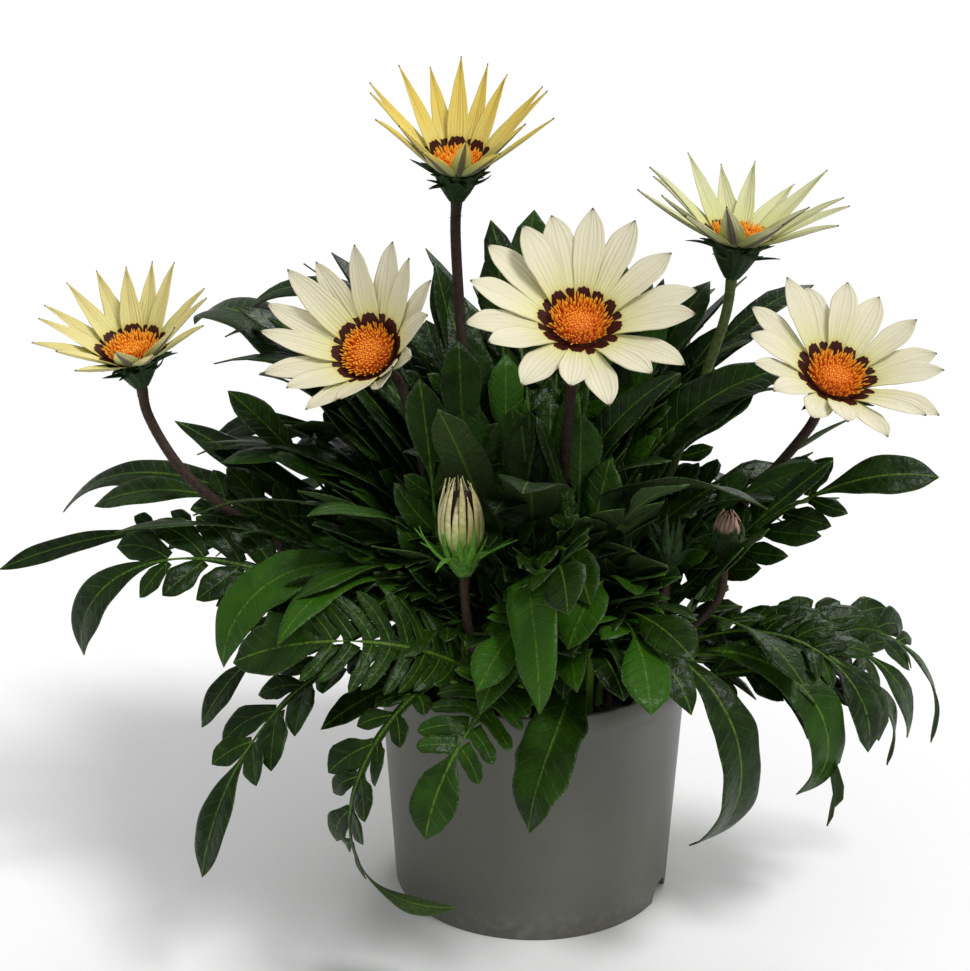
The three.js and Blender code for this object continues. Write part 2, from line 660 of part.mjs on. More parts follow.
// Each bloom: where its rays spring, its lean and size, its rays (as above), and its stalk.
const BLOOMS = {
  top: {
    at: [-30, 0, 298], lean: 20, towards: 278, size: 0.8, reach: 32, slope: 51, far: 5, near: -10,
    shape: 'lance', wide: 3.4, fold: 62, spin: 5, ray: 'yellow',
    root: [-16, 4], via: [[-23, 6, 160], [-28, 8, 215]],
  },
  right_back: {
    at: [79, 20, 267], lean: 9, towards: 306, size: 0.85, reach: 42.5, slope: 29, far: 8, near: 8,
    shape: 'lance', wide: 4, fold: 62, spin: -12, ray: 'cream',
    root: [20, 12], via: [[52, 24, 160], [70, 28, 213]], green: true,
  },
  left: {
    at: [-153, -20, 229], lean: 20, towards: 258, size: 0.8, reach: 33, slope: 40, far: 13, near: -6,
    shape: 'lance', wide: 4, fold: 50, spin: 5, ray: 'cream', root: [-28, -7],
    via: [[-52, -12, 117], [-80, -19, 137], [-112, -20, 161], [-136, -17, 180]],
  },
  left_centre: {
    at: [-62, -25, 231], lean: 54, towards: 248, size: 0.9, reach: 34, slope: 46, far: -5, near: 4,
    shape: 'lance', wide: 5, fold: 22, spin: -8, ray: 'cream',
    root: [-22, -10], via: [[-38, -12, 160]],
    short: { from: 275, span: 70, share: 0.5 },
  },
  centre: {
    at: [16, -35, 244], lean: 37, towards: 275, size: 0.9, reach: 42, slope: 25, far: 18, near: -2,
    shape: 'broad', wide: 6.2, fold: 12, arch: 1.5, spin: -7, ray: 'cream',
    root: [9, -16], via: [[11, -19, 150], [12, -22, 197]],
  },
  right: {
    at: [113, -20, 221], lean: 37, towards: 288, size: 0.9, reach: 38, slope: 27, far: 2, near: 4,
    shape: 'broad', wide: 5.4, fold: 16, arch: 1.5, spin: -3, ray: 'cream',
    root: [24, -4], via: [[62, -2, 140], [84, -6, 168]],
  },
};

for (const [name, bloom] of Object.entries(BLOOMS)) {
  const { group, axis } = standing(bloom);
  const { size } = bloom;
  const depth = CUP.depth * size;
  const top = -RING.thick - GAP;
  piece(`rays_${name}`, rays({ arch: 0, ...bloom }), bloom.ray, group);
  piece(`disc_${name}`, discDome(size), 'disc', group);
  const made = cup({ radius: CUP.radius * size, depth, top, bractLong: BRACT.long * size });
  piece(`cup_${name}`, made, 'cup', group);
  const finish = bloom.green ? 'greenStalk' : 'stalk';
  addStalk(name, stalkRoute({ ...bloom, axis }, depth - top + GAP), STALK.radius, finish);
}

// ---- buds and the spent head --------------------------------------------------------------

// Furled rays: a pleated body that closes upwards to a point.
function furled(radius, height) {
  const levels = [[0.55, 0], [0.95, 0.25], [1, 0.5], [0.62, 0.82]]; // [share of radius, of height]
  const { pleats, depth } = FURL;
  const corners = [new THREE.Vector3(0, 0, 0)];
  levels.forEach(([wide, high]) => {
    for (let j = 0; j < 2 * pleats; j += 1) {
      const share = j % 2 === 0 ? wide : wide * depth;
      const corner = heading((j * 180) / pleats, 0).multiplyScalar(radius * share);
      corner.z = height * high;
      corners.push(corner);
    }
  });
  corners.push(new THREE.Vector3(radius * 0.1, 0, height));
  const at = (level, j) => 1 + level * 2 * pleats + (j % (2 * pleats));
  const triangles = [];
  for (let j = 0; j < 2 * pleats; j += 1) {
    triangles.push([0, at(0, j + 1), at(0, j)]);
    for (let i = 0; i + 1 < levels.length; i += 1) {
      triangles.push([at(i, j), at(i, j + 1), at(i + 1, j + 1)]);
      triangles.push([at(i, j), at(i + 1, j + 1), at(i + 1, j)]);
    }
    triangles.push([at(levels.length - 1, j), at(levels.length - 1, j + 1), corners.length - 1]);
  }
  return meshFrom(corners, triangles);
}

// Each bud stands on its cup, whose top is the bud's own origin.
const BUDS = {
  opening: {
    at: [-26, -60, 163], lean: 10, towards: 110, root: [-18, -38], via: [[-20, -47, 112]],
    petals: { radius: 8, height: 26, finish: 'cream' }, bractSlope: 28, bractLong: 19,
  },
  green: {
    at: [51, -45, 161], lean: 12, towards: 60, root: [30, -30], via: [[39, -38, 114]],
    bractSlope: 72, bractLong: 17,
  },
  spent: {
    at: [72, -46, 166], lean: 10, towards: 60, root: [36, -20], via: [[55, -35, 120]],
    petals: { radius: 5, height: 9, finish: 'faded' }, bractSlope: 60, bractLong: 9,
  },
};

for (const [name, bud] of Object.entries(BUDS)) {
  const { group, axis } = standing(bud);
  const { bractSlope, bractLong, petals } = bud;
  piece(`cup_${name}`, cup({ ...BUD_CUP, top: 0, bractSlope, bractLong }), 'cup', group);
  if (petals) {
    const rolled = furled(petals.radius, petals.height).translate(0, 0, GAP);
    piece(`petals_${name}`, rolled, petals.finish, group);
  }
  addStalk(name, stalkRoute({ ...bud, axis }, BUD_CUP.depth + GAP), STALK.thin, 'stalk');
}

// ---- pot and soil -------------------------------------------------------------------------

// The pot's outer radius at a height, under the collar.
function wallRadius(z) {
  const top = POT.rimRadius - POT.collarStep - POT.chamfer;
  return POT.baseRadius + ((top - POT.baseRadius) * z) / (POT.height - POT.collar);
}

// The pot: a tapering wall with a collar, a floor that lies on the ground in the middle and is
// raised in a channel with drain holes round it, and a foot ring with an arched notch on each
// side.
function potShell() {
  const { height, rimRadius, chamfer, floorThick, padRadius, channel, bank, inset, wall } = POT;
  const shoulder = height - POT.collar;
  const foot = POT.baseRadius - POT.footWidth;
  const floorTop = channel + floorThick;
  const profile = [
    [0, 0], [padRadius, 0], [padRadius + bank, channel], [foot, channel], [foot, 0],
    [POT.baseRadius, 0], [wallRadius(shoulder), shoulder],
    [rimRadius - chamfer, shoulder + POT.shoulder], [rimRadius, height - chamfer],
    [rimRadius - chamfer, height], [rimRadius - wall, height],
    [wallRadius(shoulder) - wall, shoulder], [wallRadius(floorTop) - wall, floorTop],
    [padRadius + bank - inset, floorTop], [padRadius - inset, floorThick], [0, floorThick],
  ];
  let shell = toSolid(turned(profile, POT.sides));
  for (const azimuth of NOTCH.azimuths) {
    const round = new THREE.CylinderGeometry(NOTCH.width / 2, NOTCH.width / 2, NOTCH.cut, 16);
    const arch = round.scale(1, 1, NOTCH.height / (NOTCH.width / 2)).rotateZ(Math.PI / 2);
    const cutter = arch.translate(POT.baseRadius, 0, 0).rotateZ(rad(azimuth));
    shell = shell.subtract(toSolid(cutter));
  }
  for (let k = 0; k < DRAIN.count; k += 1) {
    const place = heading(((k + 0.5) * 360) / DRAIN.count, 0).multiplyScalar(DRAIN.ring);
    const drain = peg(place.x, place.y, DRAIN.radius, channel - 1, floorTop + 1);
    shell = shell.subtract(toSolid(drain));
  }
  return toGeometry(shell);
}

// The soil: it fills the pot to just under the rim, uneven on top, with a plain hole for
// everything that stands in it.
function soilFill() {
  const floor = POT.floorThick + GAP;
  const raised = POT.channel + floor;
  const well = POT.padRadius - POT.inset - GAP;
  const shoulder = POT.height - POT.collar;
  const inside = (z) => wallRadius(Math.min(z, shoulder)) - POT.wall - 1.5 * GAP;
  const edge = inside(SOIL.top);
  const profile = [
    [0, floor], [well, floor], [well + POT.bank, raised], [inside(raised), raised],
    [edge, SOIL.top - SOIL.edge],
    [edge * 0.99, SOIL.top], [edge * 0.5, SOIL.top], [0, SOIL.top],
  ];
  const body = turned(profile, SOIL.sides);
  const place = body.attributes.position;
  for (let i = 0; i < place.count; i += 1) {
    const [x, y, z] = [place.getX(i), place.getY(i), place.getZ(i)];
    if (z > SOIL.top - 0.1) {
      const bump = Math.sin(x * 0.37 + 1) * Math.sin(y * 0.41) + 0.5 * Math.sin(x * 0.9 - y * 0.7);
      const dip = SOIL.dip * (Math.hypot(x, y) / edge) ** 2;
      place.setZ(i, z + SOIL.relief * bump - dip);
    }
  }
  let fill = toSolid(body);
  for (const root of roots) fill = fill.subtract(toSolid(root));
  return toGeometry(fill);
}

piece('pot', potShell(), 'pot');
piece('soil', soilFill(), 'soil');

export default plant;
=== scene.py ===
"""The finished surfaces of a gazania in flower, growing in its pot.

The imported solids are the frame. Each finished piece stands for one of them, in the same place
and with the same form, and is given what a solid leaves out: petals with pleats, cut leaves with
folds and veins, florets one by one, hairs, crumbs of soil and every surface's own finish.
Sprigs and thickets are further leaves, which stand between those and for no solid. Sizes are
in millimetres until a mesh is made, and azimuths are in degrees from +X.
"""

import logging
import math
from collections.abc import Sequence
from dataclasses import dataclass
from enum import Enum

import bpy
import numpy as np
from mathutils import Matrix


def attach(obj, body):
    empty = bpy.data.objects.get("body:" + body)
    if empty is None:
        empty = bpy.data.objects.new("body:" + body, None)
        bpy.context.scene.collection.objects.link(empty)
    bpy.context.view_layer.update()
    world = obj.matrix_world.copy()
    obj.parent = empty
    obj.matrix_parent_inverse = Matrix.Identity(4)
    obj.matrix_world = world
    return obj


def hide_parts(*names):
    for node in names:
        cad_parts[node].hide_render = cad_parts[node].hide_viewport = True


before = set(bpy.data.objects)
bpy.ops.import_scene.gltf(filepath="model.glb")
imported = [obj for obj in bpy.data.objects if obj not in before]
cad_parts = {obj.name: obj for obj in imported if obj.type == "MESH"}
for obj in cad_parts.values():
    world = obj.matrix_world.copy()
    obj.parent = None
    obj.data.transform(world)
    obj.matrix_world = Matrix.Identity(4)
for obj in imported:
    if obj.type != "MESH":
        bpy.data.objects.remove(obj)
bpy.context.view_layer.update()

LOG = logging.getLogger("gazania")
MM = 0.001
GAP = 0.3  # clearance between pieces that rest on each other
ROOT_BODY = "root"
Z_UP = np.array([0.0, 0.0, 1.0])
GOLDEN_ANGLE = 137.508

POT_HEIGHT = 100.0
SOIL_TOP = 92.0
CROWN_HEIGHT = SOIL_TOP + 3.0  # where leaf stalks set off
ROOT_DEPTH = 8.0  # how far a leaf stalk goes down from there


# ---- curves and directions -----------------------------------------------------------------


def unit(vectors: np.ndarray) -> np.ndarray:
    """Scale vectors to length 1.

    Args:
        vectors: an array whose last axis holds x, y, z.

    Returns:
        The same directions, one unit long.
    """
    return vectors / np.maximum(np.linalg.norm(vectors, axis=-1, keepdims=True), 1e-9)


def heading(azimuth: np.ndarray | float, elevation: np.ndarray | float) -> np.ndarray:
    """Give unit vectors: (cos e cos a, cos e sin a, sin e).

    Args:
        azimuth: degrees from +X, counter-clockwise from above.
        elevation: degrees above the level.

    Returns:
        The vectors, with x, y, z on a new last axis.
    """
    a, e = np.broadcast_arrays(np.radians(azimuth), np.radians(elevation))
    return np.stack([np.cos(e) * np.cos(a), np.cos(e) * np.sin(a), np.sin(e)], axis=-1)


def eased(knots: Sequence[float], values: Sequence[float], at: np.ndarray) -> np.ndarray:
    """Join given values by a smooth curve: a cubic between each two, with the mean slopes.

    Args:
        knots: where the values lie, rising.
        values: the values there.
        at: where the curve is read.

    Returns:
        The curve's values, never under zero.
    """
    x, y = np.asarray(knots, float), np.asarray(values, float)
    slopes = np.gradient(y, x)
    i = np.clip(np.searchsorted(x, at, side="right") - 1, 0, len(x) - 2)
    h = x[i + 1] - x[i]
    s = np.clip((at - x[i]) / h, 0.0, 1.0)
    start = (1 + 2 * s) * (1 - s) ** 2 * y[i] + s * (1 - s) ** 2 * h * slopes[i]
    end = s**2 * (3 - 2 * s) * y[i + 1] + s**2 * (s - 1) * h * slopes[i + 1]
    return np.maximum(start + end, 0.0)


def ramp(low: float, high: float, value: np.ndarray) -> np.ndarray:
    """Rise from 0 at low to 1 at high along 3 s^2 - 2 s^3.

    Args:
        low: where the rise starts.
        high: where it ends.
        value: where it is read.

    Returns:
        The share, from 0 to 1.
    """
    s = np.clip((value - low) / (high - low), 0.0, 1.0)
    return s * s * (3 - 2 * s)


def through(points: np.ndarray, count: int) -> np.ndarray:
    """Draw a smooth line through points, by the centripetal Catmull-Rom formula.

    Each stretch blends the straight lines of its four nearest points, timed by the square
    roots of their distances.

    Args:
        points: the points, one a row.
        count: how many points the line gets.

    Returns:
        The line's points, the same number to each stretch.
    """
    p = np.vstack([2 * points[0] - points[1], points, 2 * points[-1] - points[-2]])
    when = np.concatenate([[0], np.cumsum(np.sqrt(np.linalg.norm(np.diff(p, axis=0), axis=1)))])
    u = np.linspace(0, len(points) - 1, count)
    i = np.minimum(u.astype(int), len(points) - 2)
    t = when[i + 1] + (u - i) * (when[i + 2] - when[i + 1])

    def blend(a: np.ndarray, b: np.ndarray, first: np.ndarray, last: np.ndarray) -> np.ndarray:
        """Go from a to b as the time goes from first to last."""
        return ((last - t) / (last - first))[:, None] * a + ((t - first) / (last - first))[:, None] * b

    w = [when[i + k] for k in range(4)]
    a = [blend(p[i + k], p[i + k + 1], w[k], w[k + 1]) for k in range(3)]
    b = [blend(a[k], a[k + 1], w[k], w[k + 2]) for k in range(2)]
    return blend(b[0], b[1], w[1], w[2])


def turn_to(axis: np.ndarray) -> np.ndarray:
    """Make the shortest turn that takes +Z to an axis.

    Args:
        axis: a unit vector.

    Returns:
        The turn as a 3 by 3 matrix.
    """
    v = np.cross(Z_UP, axis)
    cross = np.array([[0, -v[2], v[1]], [v[2], 0, -v[0]], [-v[1], v[0], 0]])
    return np.eye(3) + cross + cross @ cross / (1 + axis[2])


# ---- closed meshes -------------------------------------------------------------------------


class Body:
    """Closed shells gathered into one mesh, with numbers noted on its corners."""

    def __init__(self, *notes: str) -> None:
        """Start an empty mesh.

        Args:
            notes: the names of the numbers that its material reads.
        """
        self.count = 0
        self.corners: list[np.ndarray] = []
        self.values: dict[str, list[np.ndarray]] = {name: [] for name in notes}
        self.quads: list[np.ndarray] = []
        self.triangles: list[np.ndarray] = []

    def take(self, corners: np.ndarray, notes: dict[str, np.ndarray | float]) -> np.ndarray:
        """Add corners and their notes.

        Args:
            corners: places, with x, y, z on the last axis.
            notes: a value for each noted name, which may be one number for all corners.

        Returns:
            The corners' numbers, in the shape that they came in.
        """
        shape = corners.shape[:-1]
        index = self.count + np.arange(int(np.prod(shape))).reshape(shape)
        self.corners.append(corners.reshape(-1, 3))
        for name, kept in self.values.items():
            kept.append(np.broadcast_to(notes.get(name, 0.0), shape).ravel())
        self.count += index.size
        return index

    def sheets(self, points: np.ndarray, thick: np.ndarray | float, **notes: np.ndarray | float) -> None:
        """Add thin leaves: each grid is moved half its thickness up and down, and its rim closed.

        Args:
            points: grids of places, (sheets, rows along, columns across, 3), columns left to
                right when seen from above with the rows running away.
            thick: the thickness at each place.
            notes: values for the noted names; "under" is set here, 1 on the lower face.
        """
        normal = unit(np.cross(np.gradient(points, axis=2), np.gradient(points, axis=1)))
        rise = normal * (0.5 * np.broadcast_to(thick, points.shape[:-1]))[..., None]
        notes["under"] = np.array([0.0, 1.0]).reshape(2, 1, 1, 1)
        top, low = self.take(np.stack([points + rise, points - rise]), notes)
        self.quads.append(self.cells(top))
        self.quads.append(self.cells(low)[:, ::-1])
        edge_top, edge_low = self.border(top), self.border(low)
        walls = [edge_top, edge_low, np.roll(edge_low, -1, axis=1), np.roll(edge_top, -1, axis=1)]
        self.quads.append(np.stack(walls, axis=-1).reshape(-1, 4))

    def skins(
        self, rings: np.ndarray, low: np.ndarray, high: np.ndarray, **notes: np.ndarray | float
    ) -> None:
        """Add closed bodies of rings, each shut by a fan at its low and its high end.

        Args:
            rings: (bodies, rings upwards, corners counter-clockwise from above, 3).
            low: the middle of each low end, (bodies, 3).
            high: the middle of each high end, (bodies, 3).
            notes: values for the noted names, for the rings' corners.
        """
        shape = rings.shape[:-1]
        index = self.take(rings, notes)
        after = np.roll(index, -1, axis=2)
        bands = [index[:, :-1], after[:, :-1], after[:, 1:], index[:, 1:]]
        self.quads.append(np.stack(bands, axis=-1).reshape(-1, 4))
        whole = {name: np.broadcast_to(value, shape) for name, value in notes.items()}
        for middle, ring, swap in ((low, 0, True), (high, -1, False)):
            pole = self.take(middle, {name: value[:, ring, 0] for name, value in whole.items()})
            fan = [np.broadcast_to(pole[:, None], index[:, ring].shape), index[:, ring], after[:, ring]]
            if swap:
                fan[1], fan[2] = fan[2], fan[1]
            self.triangles.append(np.stack(fan, axis=-1).reshape(-1, 3))

    def hairs(
        self, feet: np.ndarray, ways: np.ndarray, long: np.ndarray, wide: float, **notes: float
    ) -> None:
        """Add hairs: three-sided points.

        Args:
            feet: where they stand, (hairs, 3).
            ways: the unit vectors along them.
            long: their lengths.
            wide: the radius of a hair's foot.
            notes: values for the noted names.
        """
        side = unit(np.cross(ways, unit(np.array([0.31, 0.82, 0.48]))))
        other = np.cross(ways, side)
        turns = np.radians([0.0, 120.0, 240.0])[None, :, None]
        foot = feet[:, None] + wide * (np.cos(turns) * side[:, None] + np.sin(turns) * other[:, None])
        tip = feet + ways * long[:, None]
        index = self.take(np.concatenate([foot, tip[:, None]], axis=1), notes)
        for three in ((0, 1, 3), (1, 2, 3), (2, 0, 3), (0, 2, 1)):
            self.triangles.append(index[:, three])

    @staticmethod
    def cells(index: np.ndarray) -> np.ndarray:
        """List the four corners of each cell of grids of corner numbers, (grids, rows, columns)."""
        corners = [index[:, :-1, :-1], index[:, :-1, 1:], index[:, 1:, 1:], index[:, 1:, :-1]]
        return np.stack(corners, axis=-1).reshape(-1, 4)

    @staticmethod
    def border(index: np.ndarray) -> np.ndarray:
        """List the rim of grids of corner numbers, counter-clockwise, one rim a row."""
        sides = [index[:, 0, :-1], index[:, :-1, -1], index[:, -1, :0:-1], index[:, :0:-1, 0]]
        return np.concatenate(sides, axis=1)

    def make(self, name: str, material: bpy.types.Material, slot: str, *nodes: str) -> bpy.types.Object:
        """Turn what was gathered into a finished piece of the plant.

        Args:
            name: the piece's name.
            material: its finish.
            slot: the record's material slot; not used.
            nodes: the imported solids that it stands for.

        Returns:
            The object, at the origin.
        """
        mesh = bpy.data.meshes.new(name)
        corners = np.concatenate(self.corners) * MM
        quads = np.concatenate(self.quads) if self.quads else np.zeros((0, 4), int)
        threes = np.concatenate(self.triangles) if self.triangles else np.zeros((0, 3), int)
        mesh.vertices.add(len(corners))
        mesh.vertices.foreach_set("co", corners.astype(np.float32).ravel())
        mesh.loops.add(quads.size + threes.size)
        order = np.concatenate([quads.ravel(), threes.ravel()])
        mesh.loops.foreach_set("vertex_index", order.astype(np.int32))
        starts = np.concatenate([np.arange(len(quads)) * 4, quads.size + np.arange(len(threes)) * 3])
        mesh.polygons.add(len(starts))
        mesh.polygons.foreach_set("loop_start", starts.astype(np.int32))
        mesh.update(calc_edges=True)
        mesh.shade_smooth()
        for note, values in self.values.items():
            layer = mesh.attributes.new(note, "FLOAT", "POINT")
            layer.data.foreach_set("value", np.concatenate(values).astype(np.float32))
        mesh.validate()
        mesh.materials.append(material)
        thing = bpy.data.objects.new(name, mesh)
        bpy.context.scene.collection.objects.link(thing)
        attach(thing, ROOT_BODY)
        if nodes:
            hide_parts(*nodes)
        LOG.info("%s: %d corners, stands for %s", name, len(corners), ", ".join(nodes) or "nothing")
        return thing


# ---- finishes ------------------------------------------------------------------------------


Colour = tuple[float, float, float]


class Wire:
    """One output of a node, which sums and products can be written with."""

    def __init__(self, board: "Board", socket: bpy.types.NodeSocket) -> None:
        """Hold a socket.

        Args:
            board: the material that the socket is in.
            socket: the output.
        """
        self.board, self.socket = board, socket

    def __add__(self, other: "Wire | float") -> "Wire":
        """Add."""
        return self.board.maths("ADD", self, other)

    __radd__ = __add__

    def __sub__(self, other: "Wire | float") -> "Wire":
        """Subtract."""
        return self.board.maths("SUBTRACT", self, other)

    def __rsub__(self, other: float) -> "Wire":
        """Subtract from a number."""
        return self.board.maths("SUBTRACT", other, self)

    def __mul__(self, other: "Wire | float") -> "Wire":
        """Multiply."""
        return self.board.maths("MULTIPLY", self, other)

    def __truediv__(self, other: "Wire | float") -> "Wire":
        """Divide."""
        return self.board.maths("DIVIDE", self, other)


class Board:
    """The node tree of one material, with a Principled shader."""

    MIX_INPUTS = (0, 6, 7)  # a colour mix's own sockets for the share and the two colours
    MIX_RESULT = 2

    def __init__(self, name: str) -> None:
        """Start a material.

        Args:
            name: the material's name.
        """
        self.material = bpy.data.materials.new(name)
        self.material.use_nodes = True
        self.tree = self.material.node_tree
        self.shader = self.tree.nodes["Principled BSDF"]

    def node(
        self, kind: str, settings: dict | None = None, inputs: dict | None = None, out: int | str = 0
    ) -> Wire:
        """Add a node.

        Args:
            kind: the node's type.
            settings: its own settings, which are set first; "stops" are a ramp's stops.
            inputs: values or wires for its sockets, by name or number.
            out: which output is wanted.

        Returns:
            That output.
        """
        made = self.tree.nodes.new(kind)
        for name, value in (settings or {}).items():
            if name == "stops":
                for stop, (place, colour) in zip(self.stops(made, len(value)), value):
                    stop.position, stop.color = place, (*colour, 1.0)
            else:
                setattr(made, name, value)
        for name, value in (inputs or {}).items():
            self.feed(made.inputs[name], value)
        return Wire(self, made.outputs[out])

    @staticmethod
    def stops(made: bpy.types.Node, count: int) -> list:
        """Give a colour ramp as many stops as are needed.

        Args:
            made: the ramp's node.
            count: how many stops it gets.

        Returns:
            The stops.
        """
        elements = made.color_ramp.elements
        while len(elements) < count:
            elements.new(0.5)
        return list(elements)

    def feed(self, socket: bpy.types.NodeSocket, value: "Wire | float | Colour") -> None:
        """Set a socket to a value, or link a wire to it.

        Args:
            socket: the input.
            value: what it gets; a colour is made opaque.
        """
        if isinstance(value, Wire):
            self.tree.links.new(value.socket, socket)
        elif isinstance(value, tuple) and len(value) == 3 and socket.type == "RGBA":
            socket.default_value = (*value, 1.0)
        else:
            socket.default_value = value

    def maths(self, operation: str, *values: "Wire | float") -> Wire:
        """Work out one operation on numbers."""
        return self.node("ShaderNodeMath", {"operation": operation}, dict(enumerate(values)))

    def note(self, name: str) -> Wire:
        """Read a number noted on the mesh."""
        return self.node("ShaderNodeAttribute", {"attribute_name": name}, out="Fac")

    def ease(self, low: float, high: float, value: Wire) -> Wire:
        """Rise smoothly from 0 where the value is low to 1 where it is high."""
        inputs = {"Value": value, "From Min": low, "From Max": high}
        return self.node("ShaderNodeMapRange", {"interpolation_type": "SMOOTHSTEP"}, inputs)

    def mix(self, share: "Wire | float", first: "Wire | Colour", second: "Wire | Colour") -> Wire:
        """Go from one colour to another.

        Args:
            share: how much of the second there is, from 0 to 1.
            first: the colour at 0.
            second: the colour at 1.

        Returns:
            The mixed colour.
        """
        made = self.tree.nodes.new("ShaderNodeMix")
        made.data_type = "RGBA"
        for number, value in zip(self.MIX_INPUTS, (share, first, second)):
            self.feed(made.inputs[number], value)
        return Wire(self, made.outputs[self.MIX_RESULT])

    def place(self, stretch: Colour = (1.0, 1.0, 1.0)) -> Wire:
        """Give the place on the object, stretched along its axes."""
        here = self.node("ShaderNodeTexCoord", out="Object")
        return self.node("ShaderNodeMapping", None, {"Vector": here, "Scale": stretch})

    def joined(self, x: "Wire | float", y: "Wire | float", z: "Wire | float") -> Wire:
        """Make a place out of three numbers."""
        return self.node("ShaderNodeCombineXYZ", None, {"X": x, "Y": y, "Z": z})

    def noise(self, size: float, at: Wire | None = None, detail: float = 3.0) -> Wire:
        """Give a soft noise from 0 to 1.

        Args:
            size: the size of its patches, in millimetres where it reads the object's places.
            at: the place that it reads, the object's own by default.
            detail: how many finer noises are added.

        Returns:
            The noise.
        """
        inputs = {"Vector": at or self.place(), "Scale": 1.0 / (size * MM), "Detail": detail}
        return self.node("ShaderNodeTexNoise", None, inputs)

    def finish(
        self, colour: "Wire | Colour", rough: "Wire | float", relief: Wire | None, depth: float,
        **fixed: float,
    ) -> bpy.types.Material:
        """Wire up the shader.

        Args:
            colour: the base colour.
            rough: the roughness.
            relief: the height that the bumps follow, from 0 to 1.
            depth: the height of the bumps in millimetres.
            fixed: values for other sockets, with _ for a space.

        Returns:
            The material.
        """
        self.feed(self.shader.inputs["Base Color"], colour)
        self.feed(self.shader.inputs["Roughness"], rough)
        for name, value in fixed.items():
            self.feed(self.shader.inputs[name.replace("_", " ")], value)
        if relief is not None:
            inputs = {"Height": relief, "Distance": depth * MM, "Strength": 1.0}
            self.feed(self.shader.inputs["Normal"], self.node("ShaderNodeBump", None, inputs))
        return self.material


@dataclass(frozen=True)
class LeafFinish:
    """A glossy dark blade with a bright rib, fine side veins, a pale fringe and a felted underside."""

    name: str = "leaf"
    dark: Colour = (0.0045, 0.014, 0.0012)
    light: Colour = (0.017, 0.05, 0.003)
    fresh: Colour = (0.028, 0.1, 0.004)
    rib: Colour = (0.1, 0.2, 0.018)
    fringe: Colour = (0.13, 0.19, 0.08)
    felt: Colour = (0.05, 0.075, 0.028)
    speck: Colour = (0.05, 0.085, 0.028)

    def make(self) -> bpy.types.Material:
        """Build the material: blade colour, then veins, specks, fringe, stalk and underside over it.

        Returns:
            The material.
        """
        b = Board(self.name)
        off, rib, rim, run = b.note("off"), b.note("rib"), b.note("rim"), b.note("run")
        under, stem, tint = b.note("under"), b.note("stem"), b.note("tint")
        patches = b.noise(9.0)
        grain = b.noise(0.55, detail=2.0)
        blade = b.mix(b.ease(0.3, 0.75, patches * 0.6 + tint * 0.4), self.dark, self.light)
        blade = b.mix(b.ease(0.75, 1.0, tint + patches * 0.2) * 0.8, blade, self.fresh)
        wobble = b.noise(5.0) * 1.6
        chevron = b.maths("SINE", (run - off * 0.75 + wobble) * (2 * math.pi / 5.2))
        side_vein = b.ease(0.85, 1.0, chevron) * b.ease(0.5, 1.5, off)
        blade = b.mix(side_vein * 0.1, blade, self.rib)
        blade = b.mix(b.ease(0.66, 0.76, grain) * 0.3, blade, self.speck)
        fringe = b.ease(0.9, 1.0, rim) * b.ease(0.42, 0.6, b.noise(1.1, detail=1.0))
        blade = b.mix(fringe * 0.5, blade, self.fringe)
        midrib = 1.0 - b.ease(0.5, 1.1, off / rib)
        bright = b.maths("MAXIMUM", midrib * 0.85, stem)
        streak = b.noise(2.5, b.place((3.0, 3.0, 0.6)))
        blade = b.mix(bright, blade, b.mix(b.ease(0.3, 0.75, streak), self.rib, self.light))
        felt = b.mix(b.ease(0.35, 0.7, b.noise(0.8)), self.felt, self.light)
        felt = b.mix(b.maths("MAXIMUM", midrib, stem) * 0.7, felt, self.rib)
        colour = b.mix(under, blade, felt)
        rough = 0.22 + b.noise(3.0) * 0.24 + under * 0.45 + bright * 0.15
        relief = b.noise(3.4, detail=2.0) * 0.9 + grain * 0.1 - side_vein * 0.35
        return b.finish(colour, rough, relief, 0.7, Specular_IOR_Level=0.15)


